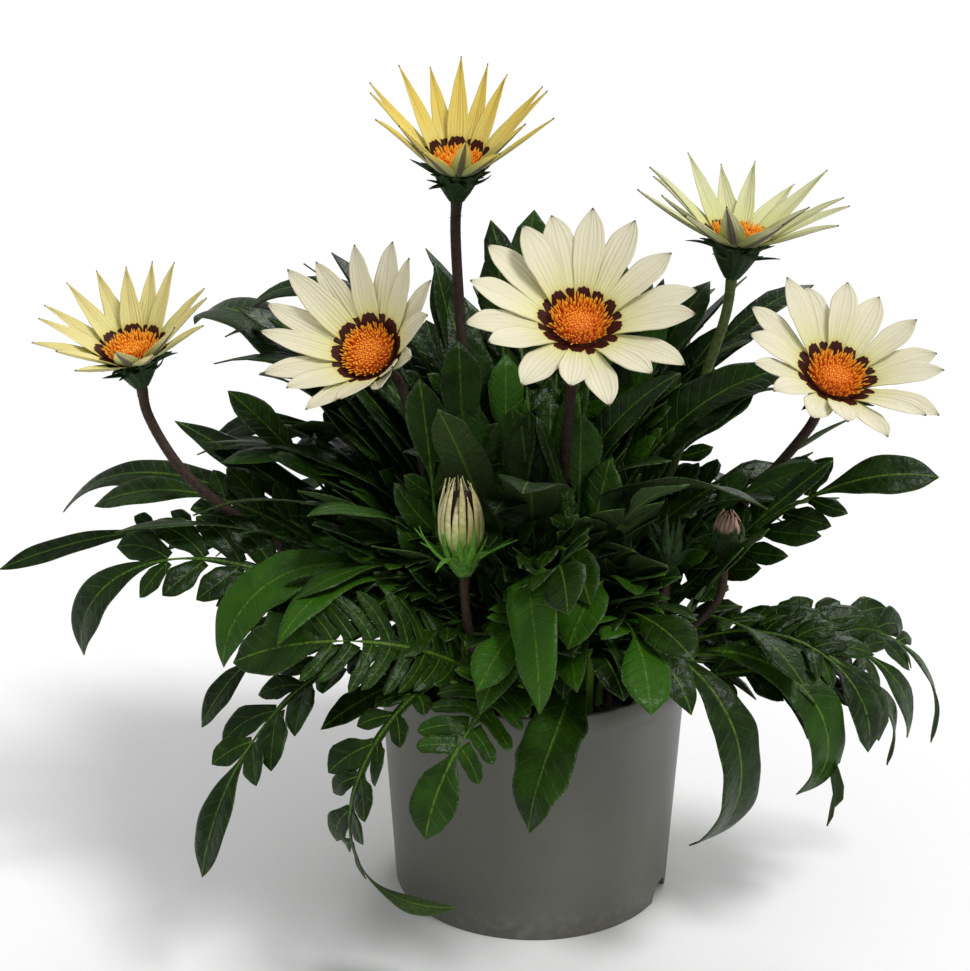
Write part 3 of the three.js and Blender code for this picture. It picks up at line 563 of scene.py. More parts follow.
@dataclass(frozen=True)
class RayFinish:
    """A ray: pale with fine lines, yellow at its foot round a dark blotch, its underside striped."""

    name: str
    tip: Colour
    middle: Colour
    foot: Colour = (0.72, 0.6, 0.12)
    blotch: Colour = (0.05, 0.006, 0.003)
    back: Colour = (0.44, 0.46, 0.17)
    stripe: Colour = (0.09, 0.065, 0.06)
    line: Colour = (0.42, 0.38, 0.22)
    point: Colour = (0.07, 0.035, 0.02)
    # painted shade along the fold, where a ray's two halves meet
    crease_shade: Colour = (0.5, 0.47, 0.22)
    crease_shade_strength: float = 0.12  # how strongly the painted shade along the fold is laid on
    blotch_out: float = 6.6  # how far from a ray's foot the blotch reaches

    def make(self) -> bpy.types.Material:
        """Build the material from the distance along and the place across each ray.

        Returns:
            The material.
        """
        b = Board(self.name)
        out, across, along = b.note("out"), b.note("across"), b.note("along")
        under, tint = b.note("under"), b.note("tint")
        wide = b.maths("ABSOLUTE", across)
        lines = b.noise(1.0, b.joined(across * 0.009, tint * 0.05, along * 0.0011), detail=2.0)
        fine = b.noise(1.0, b.joined(across * 0.03, tint * 0.07, along * 0.0022), detail=1.0)
        petal = b.mix(b.ease(0.1, 0.75, along + lines * 0.2), self.middle, self.tip)
        petal = b.mix(b.ease(0.55, 0.75, fine) * 0.2, petal, self.line)
        petal = b.mix(b.ease(0.55, 0.72, lines) * 0.18, petal, self.back)
        # painted shade along the fold down the ray's middle, growing towards the tip
        fold = (1.0 - b.ease(0.02, 0.22, wide + fine * 0.08)) * b.ease(0.15, 0.55, along)
        petal = b.mix(fold * self.crease_shade_strength, petal, self.crease_shade)
        glow = 1.0 - b.ease(self.blotch_out - 1.5, self.blotch_out + 2.5, out + wide * 1.5)
        petal = b.mix(glow * 0.85, petal, self.foot)
        square = wide * wide
        points = b.maths("COSINE", across * 13.0) * 0.22
        edge = out + square * wide * 4.2 - points
        blotch = 1.0 - b.ease(self.blotch_out - 0.25, self.blotch_out + 0.15, edge)
        petal = b.mix(blotch, petal, self.blotch)
        point = b.ease(0.965, 0.99, along)
        petal = b.mix(point * 0.85, petal, self.point)
        back = b.mix(b.ease(0.25, 0.8, along), self.back, self.tip)
        band = (1.0 - b.ease(0.28, 0.55, wide + lines * 0.12)) * b.ease(0.02, 0.12, along)
        back = b.mix(band * 0.88, back, self.stripe)
        back = b.mix(point, back, self.point)
        colour = b.mix(under, petal, back)
        relief = b.maths("COSINE", across * 21.0) * 0.25 + lines * 0.6 + fine * 0.35
        return b.finish(colour, 0.55, relief, 0.3, Specular_IOR_Level=0.25)


@dataclass(frozen=True)
class FloretFinish:
    """Orange florets, lighter at their mouths and deeper at their feet, partly painted shade between them."""

    name: str = "floret"
    # the florets' own deep orange-red, darkened as painted shade between them
    deep: Colour = (0.7, 0.12, 0.006)
    orange: Colour = (1.0, 0.34, 0.01)
    light: Colour = (1.0, 0.6, 0.06)

    def make(self) -> bpy.types.Material:
        """Build the material from the height on each floret.

        Returns:
            The material.
        """
        b = Board(self.name)
        along, tint = b.note("along"), b.note("tint")
        # deeper towards the feet: partly their own colour, partly painted shade between the florets
        colour = b.mix(b.ease(0.2, 0.85, along), self.deep, self.orange)
        colour = b.mix(b.ease(0.6, 1.0, along) * (0.3 + tint * 0.6), colour, self.light)
        grain = b.noise(0.4)
        return b.finish(colour, 0.55 + grain * 0.15, grain, 0.05, Specular_IOR_Level=0.35)


@dataclass(frozen=True)
class GreenFinish:
    """A green or brown downy surface: stalks, cups and bracts, with pale hairs."""

    name: str
    dark: Colour
    light: Colour
    hair: Colour
    foot: Colour | None = None  # the colour at the low end, where it differs

    def make(self) -> bpy.types.Material:
        """Build the material: mottling, a foot colour towards the low end where one is given, and the hairs'
        own colour.

        Returns:
            The material.
        """
        b = Board(self.name)
        along, hair, tint = b.note("along"), b.note("hair"), b.note("tint")
        mottle = b.noise(1.7)
        fine = b.noise(0.35, detail=2.0)
        colour = b.mix(b.ease(0.3, 0.7, mottle * 0.7 + tint * 0.3), self.dark, self.light)
        if self.foot:
            colour = b.mix((1.0 - b.ease(0.0, 0.45, along + mottle * 0.1)) * 0.85, colour, self.foot)
        colour = b.mix(b.ease(0.62, 0.75, fine) * 0.35, colour, self.hair)
        colour = b.mix(hair, colour, self.hair)
        return b.finish(colour, 0.6 + fine * 0.2, fine * 0.6 + mottle * 0.4, 0.15, Specular_IOR_Level=0.3)


@dataclass(frozen=True)
class PotFinish:
    """Moulded taupe plastic with a satin face, fine flow marks, scuffs and dust near the foot."""

    name: str = "pot"
    plain: Colour = (0.092, 0.092, 0.077)
    worn: Colour = (0.12, 0.119, 0.1)
    dust: Colour = (0.2, 0.18, 0.15)

    def make(self) -> bpy.types.Material:
        """Build the material: cloudy tone, faint upright scratches and a fine moulded grain.

        Returns:
            The material.
        """
        b = Board(self.name)
        clouds = b.noise(38.0)
        scratches = b.noise(3.0, b.place((1.0, 1.0, 0.06)), detail=4.0)
        grain = b.noise(0.3, detail=1.0)
        height = b.node("ShaderNodeSeparateXYZ", None, {0: b.node("ShaderNodeTexCoord", out="Object")}, "Z")
        colour = b.mix(b.ease(0.35, 0.7, clouds) * 0.55, self.plain, self.worn)
        low = (1.0 - b.ease(0.0, 0.018, height)) * b.ease(0.4, 0.7, b.noise(4.0))
        colour = b.mix(low * 0.45, colour, self.dust)
        colour = b.mix(b.ease(0.68, 0.8, scratches) * 0.2, colour, self.dust)
        rough = 0.36 + clouds * 0.12 + b.ease(0.6, 0.8, scratches) * 0.15
        return b.finish(colour, rough, grain * 0.5 + scratches * 0.5, 0.05, Specular_IOR_Level=0.45)


@dataclass(frozen=True)
class SoilFinish:
    """Dark moist peat with paler crumbs and brown fibres."""

    name: str = "soil"
    dark: Colour = (0.006, 0.004, 0.003)
    brown: Colour = (0.035, 0.02, 0.012)
    straw: Colour = (0.14, 0.085, 0.045)

    def make(self) -> bpy.types.Material:
        """Build the material from crumb noise and each crumb's own tint.

        Returns:
            The material.
        """
        b = Board(self.name)
        crumbs = b.noise(2.2, detail=5.0)
        colour = b.mix(b.ease(0.35, 0.7, crumbs * 0.6 + b.note("tint") * 0.4), self.dark, self.brown)
        colour = b.mix(b.ease(0.85, 0.95, b.note("tint")) * 0.7, colour, self.straw)
        return b.finish(colour, 0.92, crumbs, 0.7, Specular_IOR_Level=0.2)


@dataclass(frozen=True)
class FloorFinish:
    """A plain pale floor."""

    name: str = "floor"
    colour: Colour = (0.93, 0.93, 0.93)

    def make(self) -> bpy.types.Material:
        """Build the material."""
        return Board(self.name).finish(self.colour, 0.8, None, 0.0, Specular_IOR_Level=0.1)


class Finishes:
    """Every material of the plant, made once."""

    def __init__(self) -> None:
        """Make them."""
        self.leaf = LeafFinish().make()
        self.cream = RayFinish("ray_cream", (0.82, 0.77, 0.57), (0.82, 0.81, 0.36)).make()
        # the yellow, lemon and lime rays get stronger painted shade along their folds
        self.yellow = RayFinish(
            "ray_yellow", (0.92, 0.72, 0.16), (0.93, 0.84, 0.28), crease_shade=(0.72, 0.34, 0.02), crease_shade_strength=0.5,
            blotch_out=7.4,
        ).make()
        self.lemon = RayFinish(
            "ray_lemon", (0.86, 0.76, 0.32), (0.88, 0.84, 0.36), crease_shade=(0.55, 0.36, 0.06), crease_shade_strength=0.4,
            blotch_out=7.2,
        ).make()
        self.lime = RayFinish(
            "ray_lime", (0.76, 0.76, 0.44), (0.74, 0.77, 0.3), crease_shade=(0.3, 0.3, 0.1), crease_shade_strength=0.3
        ).make()
        self.floret = FloretFinish().make()
        self.cup = GreenFinish("cup", (0.008, 0.022, 0.005), (0.025, 0.06, 0.012), (0.14, 0.19, 0.09)).make()
        self.bud = GreenFinish("bud", (0.035, 0.12, 0.01), (0.12, 0.32, 0.025), (0.42, 0.5, 0.28)).make()
        self.stalk = GreenFinish(
            "stalk", (0.018, 0.009, 0.006), (0.05, 0.028, 0.016), (0.15, 0.1, 0.06), (0.05, 0.06, 0.018)
        ).make()
        self.green_stalk = GreenFinish(
            "green_stalk", (0.05, 0.08, 0.015), (0.13, 0.17, 0.04), (0.24, 0.28, 0.14)
        ).make()
        self.furled = GreenFinish(
            "furled", (0.42, 0.36, 0.14), (0.72, 0.66, 0.38), (0.74, 0.7, 0.5), (0.2, 0.38, 0.02)
        ).make()
        self.faded = GreenFinish("faded", (0.32, 0.2, 0.14), (0.52, 0.36, 0.27), (0.6, 0.48, 0.38)).make()
        # near-black finish for the body inside a furl: painted shade in the gaps between its strips
        self.core = GreenFinish("core", (0.02, 0.008, 0.006), (0.05, 0.02, 0.015), (0.08, 0.04, 0.03)).make()
        self.pot = PotFinish().make()
        self.soil = SoilFinish().make()
        self.floor = FloorFinish().make()


# ---- leaves --------------------------------------------------------------------------------


class Lobe(Enum):
    """How a side lobe widens from its foot to its tip: (share of its length, half its width).

    The half width is a share of the way from one lobe to the next, or of 0.62 of the lobe's
    length where that is less. Ferny leaves have more and blunter lobes.
    """

    FERN = ((0.0, 0.2, 0.5, 0.8, 0.95, 1.0), (0.5, 0.38, 0.36, 0.3, 0.15, 0.01))
    LEAFLET = ((0.0, 0.15, 0.35, 0.6, 0.82, 0.94, 1.0), (0.2, 0.24, 0.38, 0.43, 0.29, 0.13, 0.01))


@dataclass(frozen=True)
class Grid:
    """How finely a leaf is divided: the rows along its blade, and the places across it, from -1
    to 1, then the same for each of its lobes."""

    rows: int
    across: tuple[float, ...]
    lobe_rows: int
    lobe_across: tuple[float, ...]


FINE_ACROSS = (-1, -0.86, -0.62, -0.36, -0.16, -0.07, 0, 0.07, 0.16, 0.36, 0.62, 0.86, 1)
FINE = Grid(60, FINE_ACROSS, 12, (-1, -0.75, -0.4, -0.12, 0, 0.12, 0.4, 0.75, 1))
MIDDLING = Grid(30, FINE_ACROSS, 10, (-1, -0.6, -0.15, 0, 0.15, 0.6, 1))
COARSE = Grid(16, (-1, -0.6, -0.12, 0, 0.12, 0.6, 1), 6, (-1, -0.5, 0, 0.5, 1))


@dataclass(frozen=True)
class Leaf:
    """A leaf: it sets off from the soil at `root` towards azimuth `az`.

    Its slope goes from `rise` to `fall` along its length `long`, late where `ease` is large, and
    its heading swings by `sweep`. `half` is half the blade's width, `lobes` the pairs of lobes
    below its end lobe (0 for a plain blade), and `roll` its twist.
    """

    root: tuple[float, float]
    az: float
    rise: float
    fall: float
    ease: float
    sweep: float
    long: float
    half: float
    lobes: int = 0
    roll: float = 0.0
    lobe: Lobe = Lobe.LEAFLET
    tint: float = 0.4

    STEPS = 240
    VEE = math.tan(math.radians(12.0))  # the slope of the blade's two halves
    RACHIS = 1.9  # half the width of blade left between two lobes
    PETIOLE = 1.6
    BARE_CUT, BARE_PLAIN = 0.3, 0.38  # how much of a cut and of a plain leaf is bare stalk
    LOBES_END = 0.74
    END_HALF = 0.54  # half the end lobe's width as a share of the widest lobe's reach
    NOTES = ("off", "rib", "rim", "run", "under", "stem", "tint")

    @property
    def stem(self) -> float:
        """The share of the leaf's length that is bare stalk."""
        return self.BARE_CUT if self.lobes else self.BARE_PLAIN

    def at(self, t: np.ndarray, x: np.ndarray, lift: np.ndarray) -> np.ndarray:
        """Give places on the leaf.

        The centre line is the sum of small steps whose slope runs from rise to fall as t to
        the power ease, and whose azimuth runs evenly by sweep. Under t = 0 it goes straight
        down. Across and up turn about it by roll.

        Args:
            t: shares of the leaf's length.
            x: distances across, to the right.
            lift: distances up from the middle surface.

        Returns:
            The places.
        """
        middles = (np.arange(self.STEPS) + 0.5) / self.STEPS
        steps = heading(self.az + self.sweep * middles, self.slope(middles)) * self.long / self.STEPS
        line = np.vstack([np.zeros(3), np.cumsum(steps, axis=0)]) + np.array([*self.root, CROWN_HEIGHT])
        share = np.clip(t, 0.0, 1.0)
        grid = np.linspace(0.0, 1.0, self.STEPS + 1)
        centre = np.stack([np.interp(share, grid, line[:, i]) for i in range(3)], axis=-1)
        centre[..., 2] += np.minimum(t, 0.0) * self.long
        azimuth = self.az + self.sweep * share
        across = heading(azimuth - 90.0, 0.0)
        up = heading(azimuth, self.slope(share) + 90.0)
        roll = (np.radians(self.roll) * np.minimum(1.0, share / self.stem))[..., None]
        tilted_up = up * np.cos(roll) + across * np.sin(roll)
        tilted_across = across * np.cos(roll) - up * np.sin(roll)
        return centre + tilted_across * x[..., None] + tilted_up * lift[..., None]

    def slope(self, t: np.ndarray) -> np.ndarray:
        """Give the centre line's slope in degrees."""
        return self.rise + (self.fall - self.rise) * t**self.ease

    def half_width(self, t: np.ndarray) -> np.ndarray:
        """Give half the width of the stalk, of the blade, or of the rib and the end lobe.

        Args:
            t: shares of the leaf's length.

        Returns:
            The half widths there.
        """
        s = self.stem
        knots, halves = [-1.0, 0.0, 0.55 * s], [self.PETIOLE, self.PETIOLE, 0.8 * self.PETIOLE]
        if self.lobes:
            end = 1.0 - self.LOBES_END
            knots += [s, 0.5 * (s + self.LOBES_END), self.LOBES_END]
            halves += [self.RACHIS, self.RACHIS, self.RACHIS]
            knots += [self.LOBES_END + u * end for u in (0.3, 0.62, 0.86, 1.0)]
            halves += [w * self.END_HALF * self.half for w in (0.75, 0.95, 0.55, 0.02)]
        else:
            knots += [s + u * (1.0 - s) for u in (0.0, 0.2, 0.45, 0.7, 0.9, 1.0)]
            halves += [w * self.half for w in (0.22, 0.62, 0.95, 0.92, 0.5, 0.01)]
        return eased(knots, halves, t)

    @property
    def pairs(self) -> int:
        """The number of pairs of side lobes."""
        return round((1.5 if self.lobe is Lobe.FERN else 1.25) * self.lobes)

    def build(self, body: Body, draw: np.random.Generator, grid: Grid) -> None:
        """Add the leaf: one sheet from its root to its tip, then its side lobes.

        The blade's halves slope up from the rib and flatten towards the rim, waves along the
        rim grow with the square of the distance out, and the stalk is a channel.

        Args:
            body: the mesh that it goes into.
            draw: the leaf's own random numbers.
            grid: how finely it is divided.
        """
        root = -ROOT_DEPTH / self.long
        stalk = np.linspace(0.0, self.stem * 0.9, 9)
        t = np.concatenate([[root, 0.5 * root], stalk, np.linspace(self.stem, 1.0, grid.rows)])[:, None]
        s = np.array(grid.across)[None, :]
        phase = 6.0 * draw.random(2)
        uneven = np.sin(34.0 * t + 0.8 * s + phase[0]) + 0.6 * np.sin(61.0 * t - s + phase[1])
        half = self.half_width(t) * (1.0 + 0.045 * ramp(self.stem, 1.2 * self.stem, t) * uneven)
        x = half * s
        blade = ramp(self.stem * 0.75, self.stem * 1.1, t)
        waves = 2 * math.pi * (3.0 + 2.0 * draw.random()) * t + 6.0 * draw.random()
        ripple = 0.075 * half * np.sin(waves + s) * s**2
        vee = np.abs(x) * self.VEE * (1.0 - 0.5 * s**2)
        ridge = 0.3 * np.exp(-((x / 0.6) ** 2))
        channel = 0.55 * s**2
        lift = blade * (vee + ripple + ridge) + (1.0 - blade) * channel
        thick = (1.7 - 1.05 * blade) * (1.0 - 0.4 * blade * s**2)
        where, across = np.broadcast_arrays(t, s)
        body.sheets(
            self.at(where, x, lift)[None], thick[None], off=np.abs(x), rim=np.abs(across) * blade,
            rib=0.35 + 0.6 * (1.0 - where), run=where * self.long, stem=(1.0 - blade) * 0.9, tint=self.tint,
        )
        if self.lobes:
            self.build_lobes(body, draw, grid)

    def build_lobes(self, body: Body, draw: np.random.Generator, grid: Grid) -> None:
        """Add the side lobes, each a small blade that points outwards and bends forwards.

        The line down its middle is an arc: its angle from the rib falls evenly, so the way along
        is the difference of two sines over the bend, and the way out that of two cosines. Its
        foot lies inside the rib. Its two halves slope up from that line, and it droops with the
        square of the distance out.

        Args:
            body: the mesh that they go into.
            draw: the leaf's own random numbers.
            grid: how finely they are divided.
        """
        fern = self.lobe is Lobe.FERN
        cut = (self.LOBES_END - self.stem) / self.pairs
        k = np.repeat(np.arange(self.pairs), 2)
        count = len(k)
        side = np.tile([-1.0, 1.0], self.pairs)[:, None, None]
        reach = self.half * (0.62 + 0.38 * np.sin(math.pi * (k + 1) / (self.pairs + 0.7)))
        reach = (reach * draw.uniform(0.92, 1.1, count))[:, None, None]
        v = np.linspace(0.0, 1.0, grid.lobe_rows)[None, :, None]
        s = np.array(grid.lobe_across)[None, None, :]
        first = draw.uniform(*((58.0, 72.0) if fern else (44.0, 60.0)), count)[:, None, None]
        bend = np.radians(draw.uniform(8.0, 30.0, count))[:, None, None]
        angle = np.radians(first) - bend * v
        foot = 0.4 * self.RACHIS
        long = (reach - foot) / np.sin(np.radians(first) - 0.5 * bend)
        start = (self.stem + cut * (k[:, None, None] + (0.42 if fern else 0.25))) * self.long
        along = start + long * (np.sin(np.radians(first)) - np.sin(angle)) / bend
        out = foot + long * (np.cos(angle) - np.cos(np.radians(first))) / bend
        room = np.minimum(cut * self.long, 0.62 * long)
        wide = eased(*self.lobe.value, v) * room * draw.uniform(0.9, 1.08, count)[:, None, None]
        wide = wide * (1.0 + 0.06 * np.sin(16.0 * v + 2.0 * s + 6.0 * draw.random((count, 1, 1))))
        x = side * (out + side * s * wide * np.cos(angle))
        t = (along - side * s * wide * np.sin(angle)) / self.long
        local = np.abs(s) * wide
        fold = draw.uniform(0.15, 0.5, count)[:, None, None] * local * (1.0 - 0.6 * s**2) * ramp(0.0, 0.35, v)
        droop = draw.uniform(-0.05, 0.3, count)[:, None, None] * reach * v**2
        lean = draw.uniform(-0.35, 0.35, count)[:, None, None] * s * wide * ramp(0.1, 0.5, v)
        ridge = 0.18 * np.exp(-((local / 0.4) ** 2))
        lift = np.abs(x) * self.VEE + fold + lean - droop + ridge - 0.2 * (1 - v) ** 3
        thick = 0.5 * (1.0 - 0.35 * s**2) + 0.0 * t
        rim = np.maximum(np.abs(s), ramp(0.9, 1.0, v))
        body.sheets(
            self.at(t, x, lift), thick, off=local, rib=0.26 - 0.1 * v, rim=rim, run=v * reach, stem=0.0,
            tint=self.tint,
        )


FERN = Lobe.FERN

# Leaves that each stand by themselves, from the far left round the front to the right.
LEAVES = {
    "left_upper": Leaf((-20, 5), 177, 44, 21, 1.7, -14, 163, 8, 0, -30),
    "far_left": Leaf((-30, 6), 178, 70, -24, 0.6, 5, 211, 11, 5, -35),
    "left_blade": Leaf((-23, -2), 194, 44, -53, 2.5, -42, 212, 7, 0, -30),
    "left_spray": Leaf((-33, -19), 205, 41, -100, 2.8, -33, 187, 17, 5, -50),
    "left_low": Leaf((-40, -14), 195, 80, -66, 0.7, 5, 120, 13, 3, -20),
    "left_bright": Leaf((-38, -26), 206, 78, -90, 1.6, 8, 140, 10, 0, -30, tint=0.8),
    "left_hanging": Leaf((-30, -32), 213, 84, -78, 0.6, 16, 160, 16, 4, 0),
    "left_curl": Leaf((-22, -31), 228, 64, -34, 0.6, -22, 78, 6, 0, -30),
    "left_fern": Leaf((-12, -39), 250, 46, -32, 1.6, -86, 131, 19, 5, -50, FERN, 0.6),
    "front_curl": Leaf((-27, -42), 264, 59, -181, 1.1, -77, 172, 12, 5, 0),
    "front_fern": Leaf((-3, -45), 267, 61, -81, 1, -45, 113, 17, 4, -25, FERN, 0.72),
    "front_broad": Leaf((10, -44), 296, 80, -88, 0.8, -78, 103, 12, tint=0.7),
    "right_rim": Leaf((18, -38), 300, 85, -69, 1.2, 13, 94, 8, 0, 20),
    "right_hanging": Leaf((26, -34), 308, 88, -150, 0.9, 20, 151, 11, 0, 10),
    "right_bright": Leaf((35, -24), 324, 42, -146, 1.8, 17, 136, 9, 0, 35, tint=0.72),
    "right_leaflets": Leaf((29, -24), 319, 19, -120, 3, 83, 152, 14, 4, 45),
    "right_arch": Leaf((39, -10), 346, 28, -106, 2, 43, 170, 13, 5, 30),
    "right_broad": Leaf((28, -12), 338, 52, 43, 1.8, 1, 134, 9, 3, 45),
    "right_far": Leaf((33, -7), 347, 53, -11, 2.6, 11, 159, 16, 5, 50),
    "right_upper": Leaf((17, 5), 14, 83, 8, 1.6, -7, 160, 13, 0, 30),
}

BACK_LEFT, BACK_RIGHT, MIDDLE, FRONT = (-14, 24), (14, 26), (-2, 6), (-8, -30)

# Tufts: leaves that spring from one crown.
TUFTS = {
    "back_left": (
        Leaf(BACK_LEFT, 150, 80, -50, 3, 25, 215, 9, 0, -20),
        Leaf(BACK_LEFT, 165, 64, -45, 2.2, 10, 175, 13, 3, -30),
        Leaf(BACK_LEFT, 135, 50, -60, 1.8, 15, 165, 14, 3),
        Leaf(BACK_LEFT, 105, 62, -70, 1.8, -15, 150, 11),
        Leaf(BACK_LEFT, 118, 78, 10, 1.6, 30, 165, 10, 0, -20),
        Leaf(BACK_LEFT, 20, 78, 0, 1.6, -10, 160, 9, 0, 20),
    ),
    "back_right": (
        Leaf(BACK_RIGHT, 28, 62, 20, 1.6, 5, 140, 13, 3, 30),
        Leaf(BACK_RIGHT, 45, 48, -60, 1.8, -15, 165, 14, 3),
        Leaf(BACK_RIGHT, 80, 60, -65, 1.7, 15, 155, 11),
        Leaf(BACK_RIGHT, 62, 80, 25, 1.6, -20, 150, 10, 0, 20),
        Leaf(BACK_RIGHT, 99, 84, 30, 1.5, 40, 165, 9),
    ),
    "middle": (
        Leaf(MIDDLE, 175, 84, 50, 1.5, -60, 170, 10, 0, -20),
        Leaf(MIDDLE, 232, 82, 10, 2, -20, 125, 11, 0, -10),
        Leaf(MIDDLE, 264, 82, -10, 2, -8, 118, 10),
        Leaf(MIDDLE, 328, 82, 5, 2, 10, 120, 11),
        Leaf(MIDDLE, 0, 82, 25, 2, 10, 140, 10, 0, 20),
        Leaf(MIDDLE, 315, 74, -20, 1.6, 10, 160, 12, 0, -20),
        Leaf(MIDDLE, 275, 72, 0, 1.6, -10, 160, 12, 0, -10),
        Leaf(MIDDLE, 235, 68, 40, 1.6, 20, 150, 9, 0, 20),
        Leaf(MIDDLE, 85, 78, 50, 1.6, 20, 140, 11),
    ),
    "front": (
        Leaf(FRONT, 215, 72, -40, 1.5, -15, 75, 8),
        Leaf(FRONT, 282, 80, -40, 1.6, 4, 46, 8),
        Leaf(FRONT, 318, 74, 10, 1.5, -12, 66, 10, 3, 20),
        Leaf(FRONT, 180, 80, 0, 2, 10, 92, 8, 0, -20),
        Leaf(FRONT, 325, 66, 50, 1.6, -10, 90, 12, 0, -20),
    ),
}


# Further single leaves: before the stalks in front, then out to the left and to the right.
SPRIGS = (
    Leaf((44, -34), 316, 65, 48, 1.6, -2, 87, 10, 3, 20, tint=0.7),
    Leaf((40, -38), 337, 66, 42, 1.7, -9, 96, 7, 0, 20, tint=0.6),
    Leaf((22, -44), 313, 89, -64, 1.8, -80, 116, 17, 2, 0, tint=0.78),
    Leaf((-26, -36), 92, 84, 66, 1.5, 8, 140, 16, 3, 0, tint=0.7),
    Leaf((16, -36), 80, 86, 68, 1.5, 8, 112, 17, 3, 10, tint=0.75),
    Leaf((4, -42), 100, 86, 62, 1.5, -10, 92, 17, 2, -10, tint=0.8),
    Leaf((-34, -44), 115, 87, 72, 1.4, 6, 128, 16, 3, 0, tint=0.6),
    Leaf((-36, 10), 186, 72, -41, 2.6, -60, 218, 13, 0, -15, tint=0.4),
    Leaf((-38, 4), 182, 60, 42, 1.9, 1, 142, 17, 2, -30, tint=0.5),
    Leaf((-36, -2), 194, 50, -31, 2.2, -25, 171, 15, 4, -30, tint=0.6),
    Leaf((42, -14), 346, 29, -99, 2.1, 18, 138, 15, 4, 30, tint=0.5),
)


@dataclass(frozen=True)
class Clearing:
    """A place between leaves where the background shows, in the main picture's pixels."""

    left: float
    top: float
    right: float
    bottom: float

    def holds(self, pixels: np.ndarray) -> bool:
        """Tell whether any of the places in the picture, with x and y on the last axis, is in it."""
        x, y = pixels[..., 0], pixels[..., 1]
        return bool(((x > self.left) & (x < self.right) & (y > self.top) & (y < self.bottom)).any())


CLEARINGS = (
    Clearing(150, 345, 205, 425),
    Clearing(165, 405, 262, 434),
    Clearing(222, 474, 284, 500),
    Clearing(120, 578, 258, 602),
    Clearing(120, 600, 236, 700),
    Clearing(120, 700, 200, 970),
    Clearing(745, 545, 890, 608),
    Clearing(790, 512, 890, 548),
    Clearing(702, 424, 738, 456),
    Clearing(780, 405, 815, 432),
    Clearing(850, 430, 970, 466),
    Clearing(190, 230, 268, 296),
    Clearing(366, 180, 446, 236),
    Clearing(655, 225, 700, 268),
)


@dataclass(frozen=True)
class Thicket:
    """Further leaves that fill the rosette, drawn at random between bounds.

    `azimuths`, `rises`, `falls` and `lengths` are the lowest and highest values drawn. The roots
    lie in `ring`, on the side that a leaf sets off to, or between the azimuths `roots`. No leaf
    rises over `ceiling`, hangs under `floor` or shows in a clearing.
    """

    name: str
    seed: int
    count: int
    azimuths: tuple[float, float]
    rises: tuple[float, float]
    falls: tuple[float, float]
    lengths: tuple[float, float]
    ceiling: float
    ring: tuple[float, float] = (6.0, 36.0)
    roots: tuple[float, float] | None = None
    eases: tuple[float, float] = (1.1, 2.3)
    floor: float = 0.0
    tints: tuple[float, float] = (0.15, 0.9)

    TRIES = 60
    ASIDE = (-30.0, 30.0)  # how far a root's side lies off the azimuth
    SWEEPS = (-35.0, 35.0)
    ROLLS = (-40.0, 40.0)
    CUT_HALVES, PLAIN_HALVES = (13.0, 18.0), (7.0, 10.0)
    PAIRS = [0, 2, 2, 3, 3, 4, 4]  # one leaf in seven is plain
    KINDS = [Lobe.FERN] + 3 * [Lobe.LEAFLET]
    EDGES = np.array([[0.0], [-0.8], [0.8]])  # the middle and both edges of a leaf

    def leaves(self, draw: np.random.Generator, heads: tuple["Head", ...]) -> list[Leaf]:
        """Draw leaves until enough of them keep to the bounds and clear of every head.

        Args:
            draw: the thicket's own random numbers.
            heads: the blooms and buds.

        Returns:
            The leaves, fewer than `count` where the tries run out.
        """
        made, studio = [], Studio()
        for _ in range(self.count * self.TRIES):
            leaf = self.leaf(draw)
            share, across = np.broadcast_arrays(np.linspace(0.3, 1.0, 24), self.EDGES * leaf.half)
            lines = leaf.at(share, across, 0.0 * share)
            line, pixels = lines[0], studio.seen(lines)
            fits = line[:, 2].max() < self.ceiling and line[:, 2].min() > self.floor
            fits = fits and not any(clearing.holds(pixels) for clearing in CLEARINGS)
            if fits and all(head.misses(line, leaf.half) for head in heads):
                made.append(leaf)
            if len(made) == self.count:
                break
        return made

    def leaf(self, draw: np.random.Generator) -> Leaf:
        """Draw one leaf.

        Args:
            draw: the thicket's own random numbers.

        Returns:
            The leaf, which may yet break the bounds.
        """
        azimuth = draw.uniform(*self.azimuths)
        side = draw.uniform(*self.roots) if self.roots else azimuth + draw.uniform(*self.ASIDE)
        root = heading(side, 0.0)[:2] * draw.uniform(*self.ring)
        lobes = int(draw.choice(self.PAIRS))
        return Leaf(
            tuple(root), azimuth, draw.uniform(*self.rises), draw.uniform(*self.falls),
            draw.uniform(*self.eases), draw.uniform(*self.SWEEPS), draw.uniform(*self.lengths),
            draw.uniform(*(self.CUT_HALVES if lobes else self.PLAIN_HALVES)), lobes,
            draw.uniform(*self.ROLLS), draw.choice(self.KINDS), draw.uniform(*self.tints),
        )


SHADE_LIFTING_TINTS = (0.5, 1.0)  # lighter tints for the leaves in the middle: painted light, lifting the shade that falls among them
